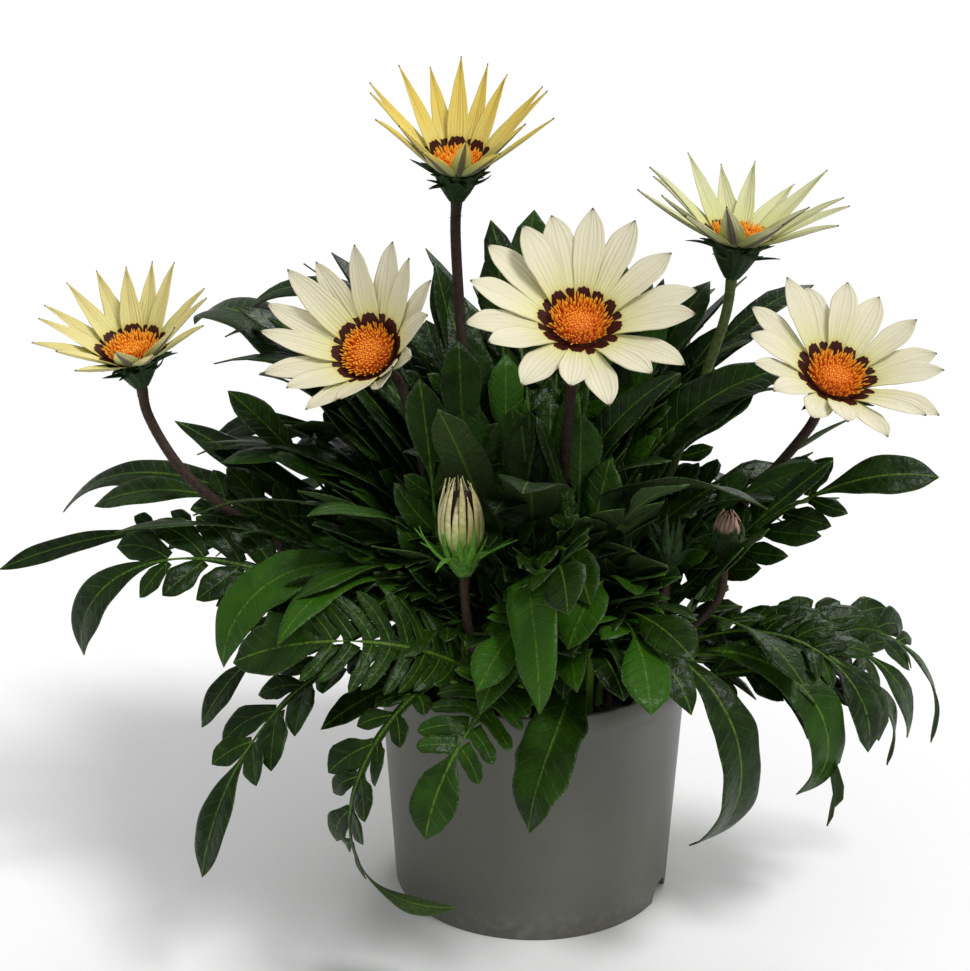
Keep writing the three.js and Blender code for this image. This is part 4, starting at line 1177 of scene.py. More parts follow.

THICKETS = (
    Thicket("front", 11, 24, (205, 335), (62, 86), (-60, 30), (55, 105), 172.0, floor=116.0),
    Thicket(
        "middle", 12, 26, (200, 340), (74, 88), (-90, -20), (100, 150), 216.0, (8.0, 36.0),
        eases=(0.9, 1.5), floor=120.0, tints=SHADE_LIFTING_TINTS,
    ),
    Thicket(
        "inner", 22, 26, (50, 130), (72, 88), (45, 78), (85, 135), 224.0, (6.0, 38.0), (190, 350),
        tints=SHADE_LIFTING_TINTS,
    ),
    Thicket(
        "veil", 23, 14, (60, 130), (82, 89), (58, 80), (85, 125), 208.0, (34.0, 44.0), (215, 300),
        tints=SHADE_LIFTING_TINTS,
    ),
    Thicket("screen", 21, 6, (302, 322), (64, 76), (10, 35), (80, 102), 172.0, (34.0, 44.0), floor=112.0),
    Thicket("low", 19, 16, (180, 360), (60, 85), (-20, 45), (60, 100), 175.0, (8.0, 36.0), floor=114.0),
    Thicket("left", 13, 20, (160, 220), (45, 78), (-50, 35), (105, 180), 215.0),
    Thicket("right", 14, 20, (-50, 30), (45, 78), (-50, 35), (95, 150), 215.0),
    Thicket("upper_left", 17, 22, (148, 200), (66, 84), (-40, 45), (150, 215), 266.0, (6.0, 30.0)),
    Thicket("upper_right", 18, 22, (-10, 50), (68, 86), (-10, 55), (140, 200), 270.0, (6.0, 30.0)),
    Thicket("back", 15, 28, (40, 150), (68, 87), (25, 78), (125, 200), 280.0, (3.0, 30.0)),
    Thicket("back_low", 16, 14, (25, 155), (45, 75), (-60, 10), (100, 160), 205.0),
    Thicket("arching", 20, 6, (325, 355), (24, 48), (-110, -60), (120, 158), 150.0, (26.0, 40.0)),
)


class Rosette:
    """All the leaves."""

    LEAF_SEED, TUFT_SEED, SPRIG_SEED = 100, 200, 300
    KNOB_RADIUS = 4.5
    KNOB_TOP = SOIL_TOP + 5.0

    def __init__(self, finish: bpy.types.Material, heads: tuple["Head", ...]) -> None:
        """Hold the leaves' finish and what they keep clear of.

        Args:
            finish: their material.
            heads: the blooms and buds.
        """
        self.finish, self.heads = finish, heads

    def build(self) -> None:
        """Build the single leaves, the tufts, the sprigs and the thickets."""
        for number, (name, leaf) in enumerate(LEAVES.items()):
            body = Body(*Leaf.NOTES)
            leaf.build(body, np.random.default_rng(self.LEAF_SEED + number), FINE)
            body.make(f"blade_{name}", self.finish, "leaf", f"leaf_{name}")
        for number, (name, leaves) in enumerate(TUFTS.items()):
            body = Body(*Leaf.NOTES)
            self.knob(body, leaves[0].root)
            self.fill(body, leaves, np.random.default_rng(self.TUFT_SEED + number), MIDDLING)
            body.make(f"crown_{name}", self.finish, "leaf", f"tuft_{name}")
        body = Body(*Leaf.NOTES)
        self.fill(body, SPRIGS, np.random.default_rng(self.SPRIG_SEED), MIDDLING)
        body.make("sprigs", self.finish, "leaf")
        for thicket in THICKETS:
            body = Body(*Leaf.NOTES)
            draw = np.random.default_rng(thicket.seed)
            self.fill(body, thicket.leaves(draw, self.heads), draw, COARSE)
            body.make(f"thicket_{thicket.name}", self.finish, "leaf")

    @staticmethod
    def fill(
        body: Body, leaves: Sequence[Leaf], draw: np.random.Generator, grid: Grid
    ) -> None:
        """Add leaves to a mesh."""
        for leaf in leaves:
            leaf.build(body, draw, grid)

    def knob(self, body: Body, root: tuple[float, float]) -> None:
        """Add a tuft's crown: a short round body that narrows upwards as a quarter circle does.

        Args:
            body: the mesh that it goes into.
            root: where it stands on the soil.
        """
        turn = np.linspace(0, 2 * math.pi, 24, endpoint=False)
        up = np.linspace(0.0, 1.0, 8)
        radius = self.KNOB_RADIUS * np.sqrt(1.0 - 0.85 * up**2)
        z = CROWN_HEIGHT - ROOT_DEPTH + up * (self.KNOB_TOP - CROWN_HEIGHT + ROOT_DEPTH)
        flat = np.stack([np.cos(turn), np.sin(turn), np.zeros(24)], axis=-1)
        rings = radius[:, None, None] * flat + z[:, None, None] * Z_UP + np.array([*root, 0.0])
        poles = [rings[i].mean(axis=0)[None] for i in (0, -1)]
        body.skins(rings[None], *poles, stem=0.8, rib=1.0, off=2.0, tint=0.3)


# ---- stalks --------------------------------------------------------------------------------


@dataclass(frozen=True)
class Stalk:
    """A bare downy stalk with faint ribs, from under the soil to a cup."""

    name: str
    route: np.ndarray
    radius: float
    seed: int
    rings: int = 80
    sides: int = 20
    hairs: int = 700

    SET_IN = GAP + 1.0  # how far it runs on, over the clearance and into its cup

    def build(self, finish: bpy.types.Material, slot: str) -> None:
        """Build the stalk: rings across its line, with ten faint ribs, and hairs all over.

        Args:
            finish: its material.
            slot: the record's slot.
        """
        line = through(self.route, self.rings)
        line[-1] += self.SET_IN * unit(line[-1] - line[-2])
        ahead = unit(np.gradient(line, axis=0))
        side = unit(np.cross(np.array([0.0, -1.0, 0.0]), ahead))
        other = np.cross(ahead, side)
        turn = np.linspace(0, 2 * math.pi, self.sides, endpoint=False)
        share = np.linspace(0, 1, self.rings)
        flare, ribs = 1.0 + 0.12 * ramp(0.93, 1.0, share), 1.0 + 0.035 * np.cos(10 * turn)
        radius = self.radius * flare[:, None] * ribs
        outwards = np.cos(turn)[None, :, None] * side[:, None] + np.sin(turn)[None, :, None] * other[:, None]
        rings = line[:, None] + radius[..., None] * outwards
        body = Body("along", "hair", "tint")
        body.skins(rings[None], line[:1], line[-1:], along=share[None, :, None], tint=0.5)
        draw = np.random.default_rng(self.seed)
        i, j = draw.integers(4, self.rings, self.hairs), draw.integers(0, self.sides, self.hairs)
        feet = rings[i, j] + ahead[i] * draw.uniform(-1.0, 1.0, self.hairs)[:, None]
        ways = unit(outwards[i, j] + draw.normal(0.0, 0.35, (self.hairs, 3)))
        body.hairs(feet - 0.1 * ways, ways, draw.uniform(0.5, 1.3, self.hairs), 0.06, hair=1.0)
        body.make(f"stem_{self.name}", finish, slot, f"stalk_{self.name}")


# ---- heads: what blooms and buds share -----------------------------------------------------


@dataclass(frozen=True)
class Head:
    """A place on top of a stalk, with its own upright frame.

    `at` is the frame's origin, and its axis leans `lean` degrees from upright towards azimuth
    `towards`. The stalk leaves the soil at `root`, passes `via`, and meets the head from below.
    """

    name: str
    at: tuple[float, float, float]
    lean: float
    towards: float
    root: tuple[float, float]
    via: tuple[tuple[float, float, float], ...]
    seed: int

    STALK_SEED = 50  # what a stalk's seed is more than its head's
    SPREAD = 12.0  # how far from its axis a bud reaches
    LEAD = 14.0  # the stalk's last stretch, along the head's axis
    UNDER = 22.0  # how far down the cup and its bracts reach
    OVER = 34.0  # how far up the rays reach

    @property
    def spread(self) -> float:
        """How far from its axis the head reaches."""
        return self.SPREAD

    def misses(self, points: np.ndarray, margin: float) -> bool:
        """Tell whether points stay clear of the head and of its stalk.

        Args:
            points: the points, one a row.
            margin: the room that each needs.

        Returns:
            True where none is in the head's own round space or near the stalk's line.
        """
        away = points - np.array(self.at)
        high = away @ self.axis
        wide = np.linalg.norm(away - high[:, None] * self.axis, axis=1)
        inside = (high > -self.UNDER) & (high < self.OVER) & (wide < self.spread + 0.6 * margin)
        line = through(self.route(self.UNDER), 60)
        gap = np.linalg.norm(points[:, None] - line[None], axis=2).min()
        return not inside.any() and gap > 3.0 + 0.35 * margin

    @property
    def axis(self) -> np.ndarray:
        """The head's axis."""
        return heading(self.towards, 90.0 - self.lean)

    def set_out(self, local: np.ndarray) -> np.ndarray:
        """Take places in the head's own frame to the plant's."""
        return local @ turn_to(self.axis).T + np.array(self.at)

    def route(self, below: float) -> np.ndarray:
        """List the stalk's points.

        Args:
            below: how far under the head's origin the stalk ends.

        Returns:
            The points, one a row.
        """
        top = np.array(self.at) - below * self.axis
        foot = [(*self.root, z) for z in (SOIL_TOP - 5.7, SOIL_TOP - 2.0, SOIL_TOP + 6.0)]
        return np.array([*foot, *self.via, top - self.LEAD * self.axis, top], dtype=float)


@dataclass(frozen=True)
class Cup:
    """The cup under a head: bracts joined into one body, with free pointed bracts on it.

    It widens fast from its neck and rises steeply to its mouth, as a bowl does.
    """

    radius: float = 11.2
    depth: float = 17.0
    top: float = -1.1
    slope: float = 20.0  # the free bracts' rise
    long: float = 12.0
    half: float = 1.5  # half a free bract's width
    wild: float = 1.0  # how unevenly the free bracts bend
    bracts: int = 7
    extra: int = 7  # smaller bracts between them
    teeth: int = 16  # points round the mouth
    teeth_slope: float = 24.0
    teeth_long: float = 0.62  # their length as a share of the bracts'
    neck: float = 3.0

    LEVELS = (0.0, 0.34, 0.75, 1.0)  # shares of its height
    FULLNESS = (0.64, 0.94, 1.03)  # its radius at them, over the neck
    RINGS, SIDES, RIBS, HAIRS = 18, 56, 14, 420

    def build(self, head: Head, finish: bpy.types.Material, nodes: tuple[str, ...]) -> None:
        """Build the cup: a ribbed round body, its bracts and teeth, and down.

        Args:
            head: the head that it carries.
            finish: its material.
            nodes: the solids that it stands for.
        """
        draw = np.random.default_rng(head.seed)
        body = Body("along", "hair", "tint", "under")
        share = np.linspace(0.0, 1.0, self.RINGS)[:, None]
        turn = np.linspace(0, 2 * math.pi, self.SIDES, endpoint=False)[None, :]
        radius = eased(self.LEVELS, [self.neck, *(full * self.radius for full in self.FULLNESS)], share)
        radius = radius * (1.0 + 0.03 * np.cos(self.RIBS * turn))
        z = self.top - self.depth * (1.0 - share) + 0.0 * turn
        rings = np.stack([radius * np.cos(turn), radius * np.sin(turn), z], axis=-1)
        poles = [rings[i].mean(axis=0)[None] for i in (0, -1)]
        body.skins(head.set_out(rings[None]), *[head.set_out(p) for p in poles], along=share[None], tint=0.3)
        self.down(body, head, rings, draw)
        number = np.arange(self.bracts)
        low = number % 2 == 0
        azimuth = (number + 0.5) * 360 / self.bracts
        height = self.top - self.depth * np.where(low, 0.42, 0.2)
        spring = self.radius * np.where(low, 0.66, 0.84)
        self.points(body, head, draw, azimuth, spring, height, self.slope, self.long, self.half)
        between = (np.arange(self.extra) + 0.05) * 360 / self.extra + draw.uniform(-8, 8, self.extra)
        deep = draw.uniform(0.15, 0.5, self.extra)
        spring, height = self.radius * (0.95 - 0.72 * deep), self.top - self.depth * deep
        less = 0.75
        self.points(
            body, head, draw, between, spring, height, self.slope + 15, less * self.long, less * self.half
        )
        rim = np.arange(self.teeth) * 360 / self.teeth
        height = np.full(self.teeth, self.top - 1.6)
        self.points(
            body, head, draw, rim, 0.9 * self.radius, height, self.teeth_slope,
            self.teeth_long * self.long, self.half,
        )
        body.make(f"calyx_{head.name}", finish, "bract", *nodes)

    def points(
        self, body: Body, head: Head, draw: np.random.Generator, azimuth: np.ndarray,
        spring: np.ndarray | float, height: np.ndarray, slope: float, long: float, half: float,
    ) -> None:
        """Add free bracts: narrow keeled blades that curve up from their feet, and their fringes.

        Args:
            body: the mesh that they go into.
            head: the head whose frame they are in.
            draw: the head's random numbers.
            azimuth: where they spring from.
            spring: how far from the axis.
            height: how high.
            slope: their rise, in degrees.
            long: their length.
            half: half their width.
        """
        count = len(azimuth)
        bend = self.wild * draw.uniform(-14.0, 22.0, count)[:, None, None]
        size = draw.uniform(0.85, 1.05, count)[:, None, None]
        v = np.linspace(0.0, 1.0, 10)[None, :, None]
        s = np.linspace(-1.0, 1.0, 5)[None, None, :]
        rise = np.radians(slope + bend * v)
        out = (np.asarray(spring) * np.ones(count))[:, None, None] + long * size * v * np.cos(rise)
        up = height[:, None, None] + long * size * v * np.sin(rise)
        wide = half * eased([0.0, 0.2, 0.55, 0.85, 1.0], [0.85, 1.0, 0.8, 0.35, 0.02], v)
        side = heading(azimuth - 90.0, 0.0)[:, None, None]
        way = heading(azimuth, 0.0)[:, None, None]
        grid = way * out[..., None] + side * (wide * s)[..., None]
        grid = grid + Z_UP * (up + 0.35 * wide * s**2)[..., None]
        grid = head.set_out(grid)
        body.sheets(grid, 0.8 - 0.45 * v - 0.25 * s**2 + 0.0 * bend, along=0.4 + 0.6 * v, tint=0.7)
        edges = grid[:, 1:-1][:, :, [0, -1]].reshape(-1, 3)
        away = unit(edges - np.repeat(grid[:, 1:-1, 2], 2, axis=1).reshape(-1, 3))
        ways = unit(away + draw.normal(0.0, 0.3, edges.shape))
        body.hairs(edges - 0.05 * ways, ways, draw.uniform(0.4, 0.9, len(edges)), 0.05, hair=1.0)

    def down(self, body: Body, head: Head, rings: np.ndarray, draw: np.random.Generator) -> None:
        """Add down on the cup: short hairs that stand out from it and lean up.

        Args:
            body: the mesh that they go into.
            head: the head whose frame they are in.
            rings: the cup's rings, which they stand on.
            draw: the head's random numbers.
        """
        count = self.HAIRS
        i, j = draw.integers(0, self.RINGS, count), draw.integers(0, self.SIDES, count)
        feet = rings[i, j]
        ways = unit(feet * np.array([1.0, 1.0, 0.0]))
        ways = unit(ways + np.array([0.0, 0.0, 0.3]) + draw.normal(0.0, 0.25, (count, 3)))
        turned = ways @ turn_to(head.axis).T
        body.hairs(head.set_out(feet - 0.1 * ways), turned, draw.uniform(0.5, 1.1, count), 0.06, hair=1.0)


# ---- blooms --------------------------------------------------------------------------------


class Ray(Enum):
    """How a ray widens from its foot to its tip: (share of its length, share of its width)."""

    BROAD = ((-0.12, 0.0, 0.2, 0.45, 0.62, 0.8, 0.93, 1.0), (0.28, 0.44, 0.66, 0.93, 1.0, 0.8, 0.36, 0.02))
    BLADE = ((-0.12, 0.0, 0.15, 0.35, 0.6, 0.8, 0.93, 1.0), (0.35, 0.6, 0.86, 1.0, 0.92, 0.66, 0.3, 0.02))
    LANCE = ((-0.12, 0.0, 0.14, 0.3, 0.5, 0.7, 0.88, 1.0), (0.35, 0.62, 0.92, 1.0, 0.84, 0.58, 0.25, 0.02))


@dataclass(frozen=True)
class Bloom(Head):
    """An open head: rays round a disc of florets.

    `size` scales the disc and the cup. The rays rise by `slope` degrees to `reach` from the axis
    and arch by `arch`, by `far` more where they point away from `towards` and by `near` more
    where they point there. They have the outline `shape`, are up to twice `wide` across, and
    their halves fold up by `fold` degrees towards the tip. The first stands at the azimuth
    `spin`. Every other ray rises by `alternate` more, the rest by as much less. Rays in the arc
    `short`, (start, span, share), are shorter.
    """

    size: float = 0.9
    reach: float = 40.0
    slope: float = 25.0
    arch: float = 0.0
    shape: Ray = Ray.BROAD
    wide: float = 6.2
    fold: float = 10.0
    far: float = 0.0
    near: float = 0.0
    spin: float = 0.0
    alternate: float = 1.0
    short: tuple[float, float, float] | None = None
    ray: str = "cream"
    green: bool = False

    RAYS = 16
    CLAW = 11.0
    LEVEL = -0.4  # the middle height of the rays' joined feet
    DISC_RADIUS = 10.4
    FLORETS = 340
    DISC_SEED = 7  # what the disc's seed is more than the head's
    CUP_TOP = -1.1
    CUP_DEPTH = 17.0
    CUP_RADIUS = 11.2
    BRACT_LONG = 15.0
    STALK_RADIUS = 2.0
    ACROSS = np.array([-1, -0.9, -0.72, -0.5, -0.33, -0.16, 0, 0.16, 0.33, 0.5, 0.72, 0.9, 1])

    @property
    def spread(self) -> float:
        """How far from its axis the head reaches."""
        return self.reach

    def build(self, finishes: Finishes) -> None:
        """Build the whole head and its stalk.

        Args:
            finishes: all the plant's materials.
        """
        self.build_rays(getattr(finishes, self.ray))
        self.build_disc(finishes.floret)
        depth = self.CUP_DEPTH * self.size
        cup = Cup(self.CUP_RADIUS * self.size, depth, self.CUP_TOP, long=self.BRACT_LONG * self.size)
        cup.build(self, finishes.cup, (f"cup_{self.name}",))
        finish, slot = (finishes.green_stalk, "stalk_green") if self.green else (finishes.stalk, "stalk")
        route = self.route(depth - self.CUP_TOP + GAP)
        Stalk(self.name, route, self.STALK_RADIUS, self.seed + self.STALK_SEED).build(finish, slot)

    def build_rays(self, finish: bpy.types.Material) -> None:
        """Build the rays: pleated blades that widen past their middles and end in a point.

        Each is a sheet over the share along it and the share across it. Two grooves run along
        it, its halves fold up about its middle, more towards the tip, and it arches as a half
        sine.

        Args:
            finish: their material.
        """
        draw = np.random.default_rng(self.seed)
        number = np.arange(self.RAYS)
        azimuth = number * 360.0 / self.RAYS + self.spin
        away = -np.cos(np.radians(azimuth - self.towards))
        other = np.where(number % 2 == 0, self.alternate, -self.alternate)
        slope = self.slope + np.where(away > 0.0, self.far, self.near) * away**2
        slope = slope + other + draw.uniform(-3.0, 3.0, self.RAYS)
        share = draw.uniform(0.94, 1.07, self.RAYS)
        if self.short:
            start, span, less = self.short
            share = np.where((azimuth - start) % 360.0 <= span, less, share)
        azimuth = azimuth + draw.uniform(-3.5, 3.5, self.RAYS)
        claw = self.CLAW * self.size
        long = (self.reach - claw) / math.cos(math.radians(self.slope)) * share
        slope, long = np.radians(slope)[:, None, None], long[:, None, None]
        a = np.concatenate([[-0.12, -0.05], np.linspace(0.0, 0.9, 17), [0.94, 0.97, 1.0]])[None, :, None]
        s = self.ACROSS[None, None, :]
        on = np.maximum(a, 0.0)
        half = self.wide * eased(*self.shape.value, a) * draw.uniform(0.88, 1.08, self.RAYS)[:, None, None]
        waves = np.sin(19.0 * a + 2.0 * s + 6.0 * draw.random((self.RAYS, 1, 1)))
        half = half * (1.0 + 0.03 * waves * ramp(0.2, 0.5, a))
        fold = np.radians(self.fold * draw.uniform(0.6, 1.15, self.RAYS))[:, None, None] * (0.25 + 0.75 * on)
        out = claw + a * long * np.cos(slope)
        turned = draw.uniform(-0.14, 0.14, self.RAYS)[:, None, None] * on
        curl = draw.uniform(-2.4, 1.6, self.RAYS)[:, None, None] * on**4
        pleat = -0.3 * (np.exp(-(((s - 0.36) / 0.13) ** 2)) + np.exp(-(((s + 0.36) / 0.13) ** 2)))
        layer = np.where(number % 2 == 0, 0.45, -0.45)[:, None, None] * ramp(0.0, 0.35, on)
        z = self.LEVEL + on * long * np.sin(slope) + self.arch * np.sin(math.pi * on) + curl + layer
        folded = half * np.sin(fold) * (np.abs(s) ** 1.15 - 0.4)
        z = z + (pleat * ramp(0.02, 0.2, on) + folded) * ramp(-0.05, 0.2, a)
        z = z + half * s * turned
        bow = draw.uniform(-1.2, 1.2, self.RAYS)[:, None, None] * on**2
        x = half * s * np.cos(fold) + bow
        way, side = heading(azimuth, 0.0)[:, None, None], heading(azimuth - 90.0, 0.0)[:, None, None]
        local = way * (out + 0.0 * s)[..., None] + side * x[..., None] + Z_UP * z[..., None]
        body = Body("out", "across", "along", "under", "tint")
        thick = 0.55 - 0.25 * s**2 - 0.1 * on + 0.0 * slope
        body.sheets(
            self.set_out(local), thick, out=a * long + 0.0 * s, across=s, along=on + 0.0 * s,
            tint=draw.random(self.RAYS)[:, None, None],
        )
        self.build_ring(body)
        slot = "ray_yellow" if self.ray == "yellow" else "ray_cream"
        body.make(f"petals_of_{self.name}", finish, slot, f"rays_{self.name}")

    def build_ring(self, body: Body) -> None:
        """Add the flat round of joined feet that the rays spring from.

        Args:
            body: the mesh that it goes into.
        """
        turn = np.linspace(0, 2 * math.pi, 48, endpoint=False)
        radius = self.size * np.array([8.6, 11.0, 11.3, 11.0, 8.6])
        z = np.array([-0.8, -0.75, -0.4, -0.05, 0.0])
        flat = np.stack([np.cos(turn), np.sin(turn), np.zeros(48)], axis=-1)
        rings = radius[:, None, None] * flat + z[:, None, None] * Z_UP
        poles = [self.set_out(np.array([[0.0, 0.0, height]])) for height in (-0.8, 0.0)]
        body.skins(self.set_out(rings[None]), *poles, out=0.0, across=0.2)

    def build_disc(self, finish: bpy.types.Material) -> None:
        """Build the disc: a low dome, and florets set round it by the golden angle.

        Floret n stands at the disc's radius times the root of n over their number. The outer
        ones are long strands that lean out, and the inner ones are short knobs.

        Args:
            finish: the florets' material.
        """
        draw = np.random.default_rng(self.seed + self.DISC_SEED)
        body = Body("along", "tint")
        turn = np.linspace(0, 2 * math.pi, 40, endpoint=False)
        share = np.array([1.0, 1.0, 0.9, 0.7, 0.45, 0.2])
        height = GAP + np.array([0.0, 0.5, 1.2, 2.0, 2.6, 2.8])
        flat = np.stack([np.cos(turn), np.sin(turn), np.zeros(40)], axis=-1)
        disc = self.DISC_RADIUS * self.size
        dome = disc * share[:, None, None] * flat + height[:, None, None] * Z_UP
        poles = [self.set_out(np.array([[0.0, 0.0, z]])) for z in (GAP, height[-1] + 0.1)]
        body.skins(self.set_out(dome[None]), *poles, along=0.0)
        n = np.arange(self.FLORETS) + 0.5
        out = np.sqrt(n / self.FLORETS)
        azimuth = n * GOLDEN_ANGLE + draw.uniform(-4.0, 4.0, self.FLORETS)
        foot = heading(azimuth, 0.0) * (0.96 * disc * out)[:, None]
        foot[:, 2] = GAP + 2.6 * (1.0 - 0.75 * out**2) - 0.6
        outer = ramp(0.35, 0.85, out)
        strand = 4.6 * math.cos(math.radians(self.slope)) - 0.5
        long = (1.5 + strand * outer) * draw.uniform(0.7, 1.2, self.FLORETS)
        lean = 6.0 + 30.0 * out**2 + draw.uniform(-11.0, 11.0, self.FLORETS)
        axis = unit(heading(azimuth, 90.0 - lean) + draw.normal(0.0, 0.07, (self.FLORETS, 3)))
        side = unit(np.cross(axis, Z_UP + 0.01))
        other = np.cross(axis, side)
        level = np.array([0.0, 0.3, 0.62, 0.82, 0.93, 1.0])[None, :, None]
        corners = np.linspace(0, 2 * math.pi, 6, endpoint=False)[None, None, :]
        knob = np.array([0.22, 0.26, 0.31, 0.33, 0.26, 0.12])[None, :, None]
        thread = np.array([0.27, 0.25, 0.27, 0.3, 0.19, 0.05])[None, :, None]
        size = knob + (thread - knob) * outer[:, None, None]
        rings = foot[:, None, None] + axis[:, None, None] * (long[:, None, None] * level)[..., None]
        bow = (0.5 * outer * long / 5.0)[:, None, None, None] * (level * (1.0 - level))[..., None]
        rings = rings + bow * heading(azimuth, 0.0)[:, None, None]
        east, north = np.cos(corners)[..., None], np.sin(corners)[..., None]
        around = east * side[:, None, None] + north * other[:, None, None]
        rings = rings + size[..., None] * around
        tip = foot + axis * (long * 1.05)[:, None]
        body.skins(
            self.set_out(rings), self.set_out(foot), self.set_out(tip), along=level + 0.0 * corners,
            tint=draw.random(self.FLORETS)[:, None, None],
        )
        body.make(f"florets_{self.name}", finish, "floret", f"disc_{self.name}")


BLOOMS = (
    Bloom(
        "top", (-30, 0, 298), 20, 278, (-16, 4), ((-23, 6, 160), (-28, 8, 215)), 301,
        size=0.8, reach=32, slope=51, far=5, near=-10, spin=5, shape=Ray.LANCE, wide=4.2, fold=52,
        alternate=3.0, ray="yellow",
    ),
    Bloom(
        "right_back", (79, 20, 267), 9, 306, (20, 12), ((52, 24, 160), (70, 28, 213)), 302,
        size=0.85, reach=42.5, slope=29, far=8, near=8, spin=-12, shape=Ray.LANCE, wide=4.8, fold=54,
        alternate=5.0, ray="lime", green=True,
    ),
    Bloom(
        "left", (-153, -20, 229), 20, 258, (-28, -7),
        ((-52, -12, 117), (-80, -19, 137), (-112, -20, 161), (-136, -17, 180)), 303,
        size=0.8, reach=33, slope=40, far=13, near=-6, spin=5, shape=Ray.LANCE, wide=4.7, fold=44,
        alternate=3.0, ray="lemon",
    ),
    Bloom(
        "left_centre", (-62, -25, 231), 54, 248, (-22, -10), ((-38, -12, 160),), 304,
        size=0.9, reach=34, slope=46, far=-5, near=4, spin=-8, shape=Ray.BLADE, wide=5.2, fold=22,
        alternate=3.0, short=(275, 70, 0.5),
    ),
    Bloom(
        "centre", (16, -35, 244), 37, 275, (9, -16), ((11, -19, 150), (12, -22, 197)), 305,
        size=0.9, reach=42, slope=25, far=18, near=-2, spin=-7, arch=1.5, wide=6.2, fold=12,
        alternate=2.0,
    ),
    Bloom(
        "right", (113, -20, 221), 37, 288, (24, -4), ((62, -2, 140), (84, -6, 168)), 306,
        size=0.9, reach=38, slope=27, far=2, near=4, spin=-3, arch=1.5, wide=5.4, fold=16,
        alternate=3.0,
    ),
)


# ---- buds ----------------------------------------------------------------------------------


@dataclass(frozen=True)
class Bud(Head):
    """A closed head: an opening bud, a green bud or a spent head.

    `furl` is the radius and height of its furled rays, or None, and `bract_slope` and
    `bract_long` the rise and length of the bracts round it.
    """

    furl: tuple[float, float] | None = None
    bract_slope: float = 30.0
    bract_long: float = 15.0
    strips: int = 17
    faded: bool = False
    fresh: bool = True

    CUP_RADIUS = 6.5
    CUP_DEPTH = 8.0
    STALK_RADIUS = 1.6

    def build(self, finishes: Finishes) -> None:
        """Build the cup, the furled rays and the stalk.

        Args:
            finishes: all the plant's materials.
        """
        cup = Cup(
            self.CUP_RADIUS, self.CUP_DEPTH, 0.0, self.bract_slope, self.bract_long, half=1.6, wild=2.4,
            bracts=8, extra=8, teeth=10, teeth_slope=58.0, teeth_long=0.45, neck=2.2,
        )
        cup.build(self, finishes.bud if self.fresh else finishes.cup, (f"cup_{self.name}",))
        if self.furl:
            finish, slot = (finishes.faded, "petal_faded") if self.faded else (finishes.furled, "ray_cream")
            # a dark body inside the strips, painted shade for the gaps between them
            self.build_painted_gap_shade(finishes.core, slot)
            self.build_furl(finish, slot)
        route = self.route(self.CUP_DEPTH + GAP)
        stalk = Stalk(
            self.name, route, self.STALK_RADIUS, self.seed + self.STALK_SEED, rings=50, hairs=500
        )
        stalk.build(finishes.stalk, "stalk")

    def build_painted_gap_shade(self, finish: bpy.types.Material, slot: str) -> None:
        """Build the dark body that shows between the strips: painted shade in the gaps of the furl.

        Args:
            finish: its material.
            slot: the record's slot.
        """
        radius, height = self.furl
        turn = np.linspace(0, 2 * math.pi, 32, endpoint=False)
        share = np.linspace(0.0, 0.9, 12)
        size = 0.84 * radius * eased([0.0, 0.25, 0.5, 0.82, 1.0], [0.6, 0.95, 1.0, 0.62, 0.3], share)
        flat = np.stack([np.cos(turn), np.sin(turn), np.zeros(32)], axis=-1)
        rings = size[:, None, None] * flat + (GAP + height * share)[:, None, None] * Z_UP
        body = Body("along", "hair", "tint")
        poles = [self.set_out(np.array([[0.0, 0.0, GAP + height * z]])) for z in (0.0, 0.92)]
        body.skins(self.set_out(rings[None]), *poles, along=0.9, tint=0.4)
        body.make(f"gap_shade_heart_{self.name}", finish, slot)

    def build_furl(self, finish: bpy.types.Material, slot: str) -> None:
        """Build the furled rays: strips side by side that bulge, close in and end unevenly.

        Each strip is bowed across, so that its middle stands out, and turns a little about the
        axis as it rises.

        Args:
            finish: their material.
            slot: the record's slot.
        """
        radius, height = self.furl
        draw = np.random.default_rng(self.seed)
        number = np.arange(self.strips)
        tall = (height * draw.uniform(0.82, 1.14, self.strips))[:, None, None]
        v = np.linspace(0.0, 1.0, 20)[None, :, None]
        s = np.linspace(-1.0, 1.0, 7)[None, None, :]
        twist = draw.uniform(8.0, 13.0, self.strips)[:, None, None]
        azimuth = number[:, None, None] * 360.0 / self.strips + twist * v**2
        size = radius * eased([0.0, 0.25, 0.5, 0.82, 1.0], [0.62, 0.96, 1.0, 0.76, 0.5], v)
        size = size + draw.uniform(-1.2, 1.6, self.strips)[:, None, None] * v**3
        wide = size * math.tan(math.pi / self.strips) * (0.92 - 0.2 * ramp(0.15, 0.6, v))
        wide = wide * (1.0 - 0.9 * ramp(0.72, 1.0, v))
        out = size + 0.45 * wide * (1.0 - s**2) - 0.3
        side, way = heading(azimuth - 90.0, 0.0 * azimuth), heading(azimuth, 0.0 * azimuth)
        up = GAP + tall * v + 0.0 * s
        local = way * out[..., None] + side * (-wide * s)[..., None] + Z_UP * up[..., None]
        body = Body("along", "hair", "tint", "under")
        tint = draw.random(self.strips)[:, None, None]
        body.sheets(self.set_out(local), 0.5 + 0.0 * (v + s + tall), along=0.6 * v, tint=tint)
        body.make(f"furl_{self.name}", finish, slot, f"petals_{self.name}")


BUDS = (
    Bud(
        "opening", (-26, -60, 163), 10, 110, (-18, -38), ((-20, -47, 112),), 401,
        furl=(8.0, 26.0), bract_slope=28.0, bract_long=19.0,
    ),
    Bud(
        "green", (51, -45, 161), 12, 60, (30, -30), ((39, -38, 114),), 402,
        bract_slope=72.0, bract_long=17.0, fresh=False,
    ),
    Bud(
        "spent", (72, -46, 166), 10, 60, (36, -20), ((55, -35, 120),), 403,
        furl=(5.0, 9.0), bract_slope=60.0, bract_long=9.0, faded=True, fresh=False,
    ),
)


# ---- pot and soil --------------------------------------------------------------------------


